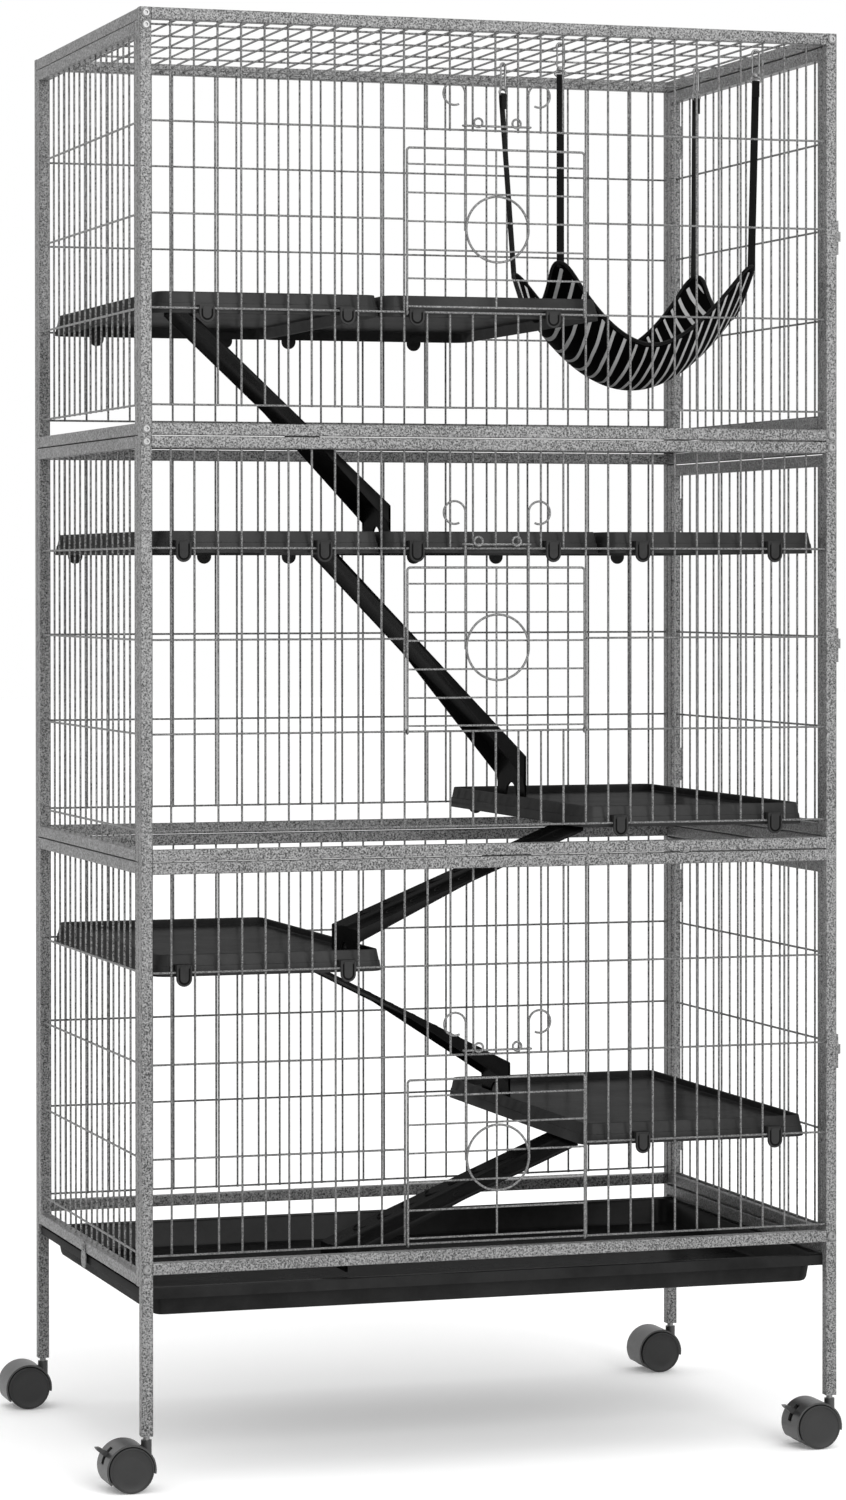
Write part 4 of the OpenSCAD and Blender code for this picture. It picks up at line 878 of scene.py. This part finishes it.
def clips():
    """Snap hooks: long loop over a roof wire, thin gate, barrel and wide eye."""
    b = Build()
    for (x, y), deg in zip(CLIPS, TURN):
        c, s = math.cos(math.radians(deg)), math.sin(math.radians(deg))
        at = lambda p, z: W(x + p * c, y + p * s, z)
        top, foot, r = HOOK_TOP - 5.2, EYE_LOW + 11.5, 3.9
        # hook: up from the barrel, over the wire, with a thickened end
        arc = [(r * math.cos(math.pi * k / 10), top + r * math.sin(math.pi * k / 10)) for k in range(9)]
        b.tube([at(r * 0.8, foot), at(r, foot + 3)] + [at(p, z) for p, z in arc], 0.0015, 10)
        b.tube([at(*arc[-1]), at(-r * 0.98, top + 0.4), at(-r * 1.08, top - 0.9)], [0.0015, 0.0018, 0.0013], 10)
        gate = [(-r * 0.75, foot), (-r - 0.1, foot + 3), (-r + 0.5, (foot + top) / 2),
                (-r + 0.1, top - 1), (-r * 0.86, top + 1.2)]
        b.tube([at(p, z) for p, z in gate], 0.0011, 8)
        b.lathe([(p * MM, (EYE_LOW + z) * MM) for p, z in BARREL], W(x, y, 0), "z", 28)
        turns = [2 * math.pi * k / 28 for k in range(28)]
        eye = [(6.0 * math.cos(t), EYE_LOW + 4.6 + 3.4 * math.sin(t)) for t in turns]
        b.tube([at(p, z) for p, z in eye], 0.0014, 10, closed=True)
    b.make("hammock_snap_hooks", M_CLIP, "cage", ["hammock_clips"], 50.0)


# ---------------------------------------------------------------- caster wheels

# wheel radius, how far the axle trails the stem, and a wheel's section as radius and distance from the middle
WHEEL_R, TRAIL = 24.4, 21.4
WHEEL = [
    (0, 6.9), (23.2, 6.9), (24.1, 7.2), (24.4, 8.0), (24.4, 23.4), (24.2, 24.3), (23.6, 24.9),
    (22.9, 25.0), (22.3, 24.8), (22.0, 24.3), (21.6, 24.1), (14, 24.35), (6, 24.5), (0, 24.5),
]


def wheels(tag, sx, sy):
    """Twin wheels on one axle."""
    b = Build()
    o = W(sx * POST_X - TRAIL, sy * POST_Y, WHEEL_R)
    for s in (-1, 1):
        b.lathe([(r * MM, s * h * MM) for r, h in WHEEL], o, "y", 96)
    b.lathe([(0, -7.5 * MM), (3 * MM, -7.5 * MM), (3 * MM, 7.5 * MM), (0, 7.5 * MM)], o, "y", 32)
    b.make(f"wheels_{tag}_turned", M_WHEEL, "wheels_" + tag, ["caster_wheels_" + tag], 30.0)


for tag, sx, sy in (("fl", -1, -1), ("fr", 1, -1), ("rl", -1, 1), ("rr", 1, 1)):
    wheels(tag, sx, sy)


# ---------------------------------------------------------------- rounded edges on small CAD pieces

for name in ("caster_hood_fl", "caster_hood_fr", "caster_hood_rl", "caster_hood_rr",
             "caster_brake_fl", "caster_brake_fr", "latch_knob_top", "latch_knob_middle", "latch_knob_bottom",
             "side_door_hardware", "tray_lock_tab"):
    o = NODES[name]
    w = o.modifiers.new("weld", "WELD")
    w.merge_threshold = 0.00001
    m = o.modifiers.new("edges", "BEVEL")
    m.width = 0.0005
    m.segments = 2
    m.limit_method = "ANGLE"
    m.angle_limit = math.radians(50)


# ---------------------------------------------------------------- camera, floor, light

# fitted to the photograph: angles in radians, place in cage millimetres, focal length and centre in pixels
YAW, PITCH_UP, ROLL = 0.3070367549933121, -0.009725201926817261, -0.0008033906607448855
EYE = (-1530.258, -4814.219, 969.432)
FOCAL_PX, CENTRE_Y_PX, PHOTO_H = 4408.643, 622.153, 1500
SENSOR = 36.0


def camera():
    yaw, pitch, roll = YAW, PITCH_UP, ROLL
    d = Vector((math.sin(yaw) * math.cos(pitch), math.cos(yaw) * math.cos(pitch), math.sin(pitch)))
    r = Vector((math.cos(yaw), -math.sin(yaw), 0.0))
    u = r.cross(d)
    r2 = math.cos(roll) * r + math.sin(roll) * u
    u2 = -math.sin(roll) * r + math.cos(roll) * u
    cam = bpy.data.cameras.new("camera")
    o = bpy.data.objects.new("camera", cam)
    bpy.context.scene.collection.objects.link(o)
    m = Matrix((r2, u2, -d)).transposed().to_4x4()
    m.translation = W(*EYE)
    o.matrix_world = m
    cam.sensor_width = SENSOR
    cam.lens = FOCAL_PX / PHOTO_H * SENSOR
    cam.shift_x = 0.0
    cam.shift_y = (CENTRE_Y_PX - PHOTO_H / 2) / PHOTO_H
    cam.clip_start, cam.clip_end = 0.1, 60.0
    bpy.context.scene.camera = o


def area(name, loc, target, size, power):
    """Square soft light aimed at a point."""
    l = bpy.data.lights.new(name, "AREA")
    l.shape = "RECTANGLE"
    l.size, l.size_y = size, size
    l.energy = power
    o = bpy.data.objects.new(name, l)
    bpy.context.scene.collection.objects.link(o)
    o.location = loc
    o.rotation_euler = (Vector(target) - Vector(loc)).to_track_quat("-Z", "Y").to_euler()


def stage():
    """Pale floor, even sky and three soft lights."""
    b = Build()
    s = 30.0
    b.add([(-s, -s, 0), (s, -s, 0), (s, s, 0), (-s, s, 0)], [(0, 1, 2, 3)])
    me = b.merged()
    floor = bpy.data.objects.new("floor", me)
    bpy.context.scene.collection.objects.link(floor)
    m = Mat("floor", rough=0.9, spec=0.1)
    m.color(m.ramp(m.noise(3.0, 2.0), [(0.3, (0.93, 0.93, 0.93, 1)), (0.7, (0.95, 0.95, 0.95, 1))]))
    m.b.inputs["Emission Color"].default_value = (1.0, 1.0, 1.0, 1.0)
    m.b.inputs["Emission Strength"].default_value = 0.12
    me.materials.append(m.m)
    floor.location.z = -0.0006
    w = bpy.data.worlds.new("studio")
    bpy.context.scene.world = w
    w.use_nodes = True
    bg = w.node_tree.nodes["Background"]
    bg.inputs["Color"].default_value = (1.0, 1.0, 1.0, 1.0)
    bg.inputs["Strength"].default_value = 1.0
    area("key", (0.6, -4.6, 2.6), (0, 0, 0.8), 3.0, 150.0)
    area("fill", (-4.0, -3.5, 2.2), (0, 0, 0.8), 3.0, 10.0)
    area("top", (0.0, -0.6, 4.2), (0, 0, 0), 2.5, 30.0)
    sc = bpy.context.scene
    sc.view_settings.view_transform = "Standard"
    sc.view_settings.look = "None"


camera()
stage()
straps(hammock_piece())
clips()
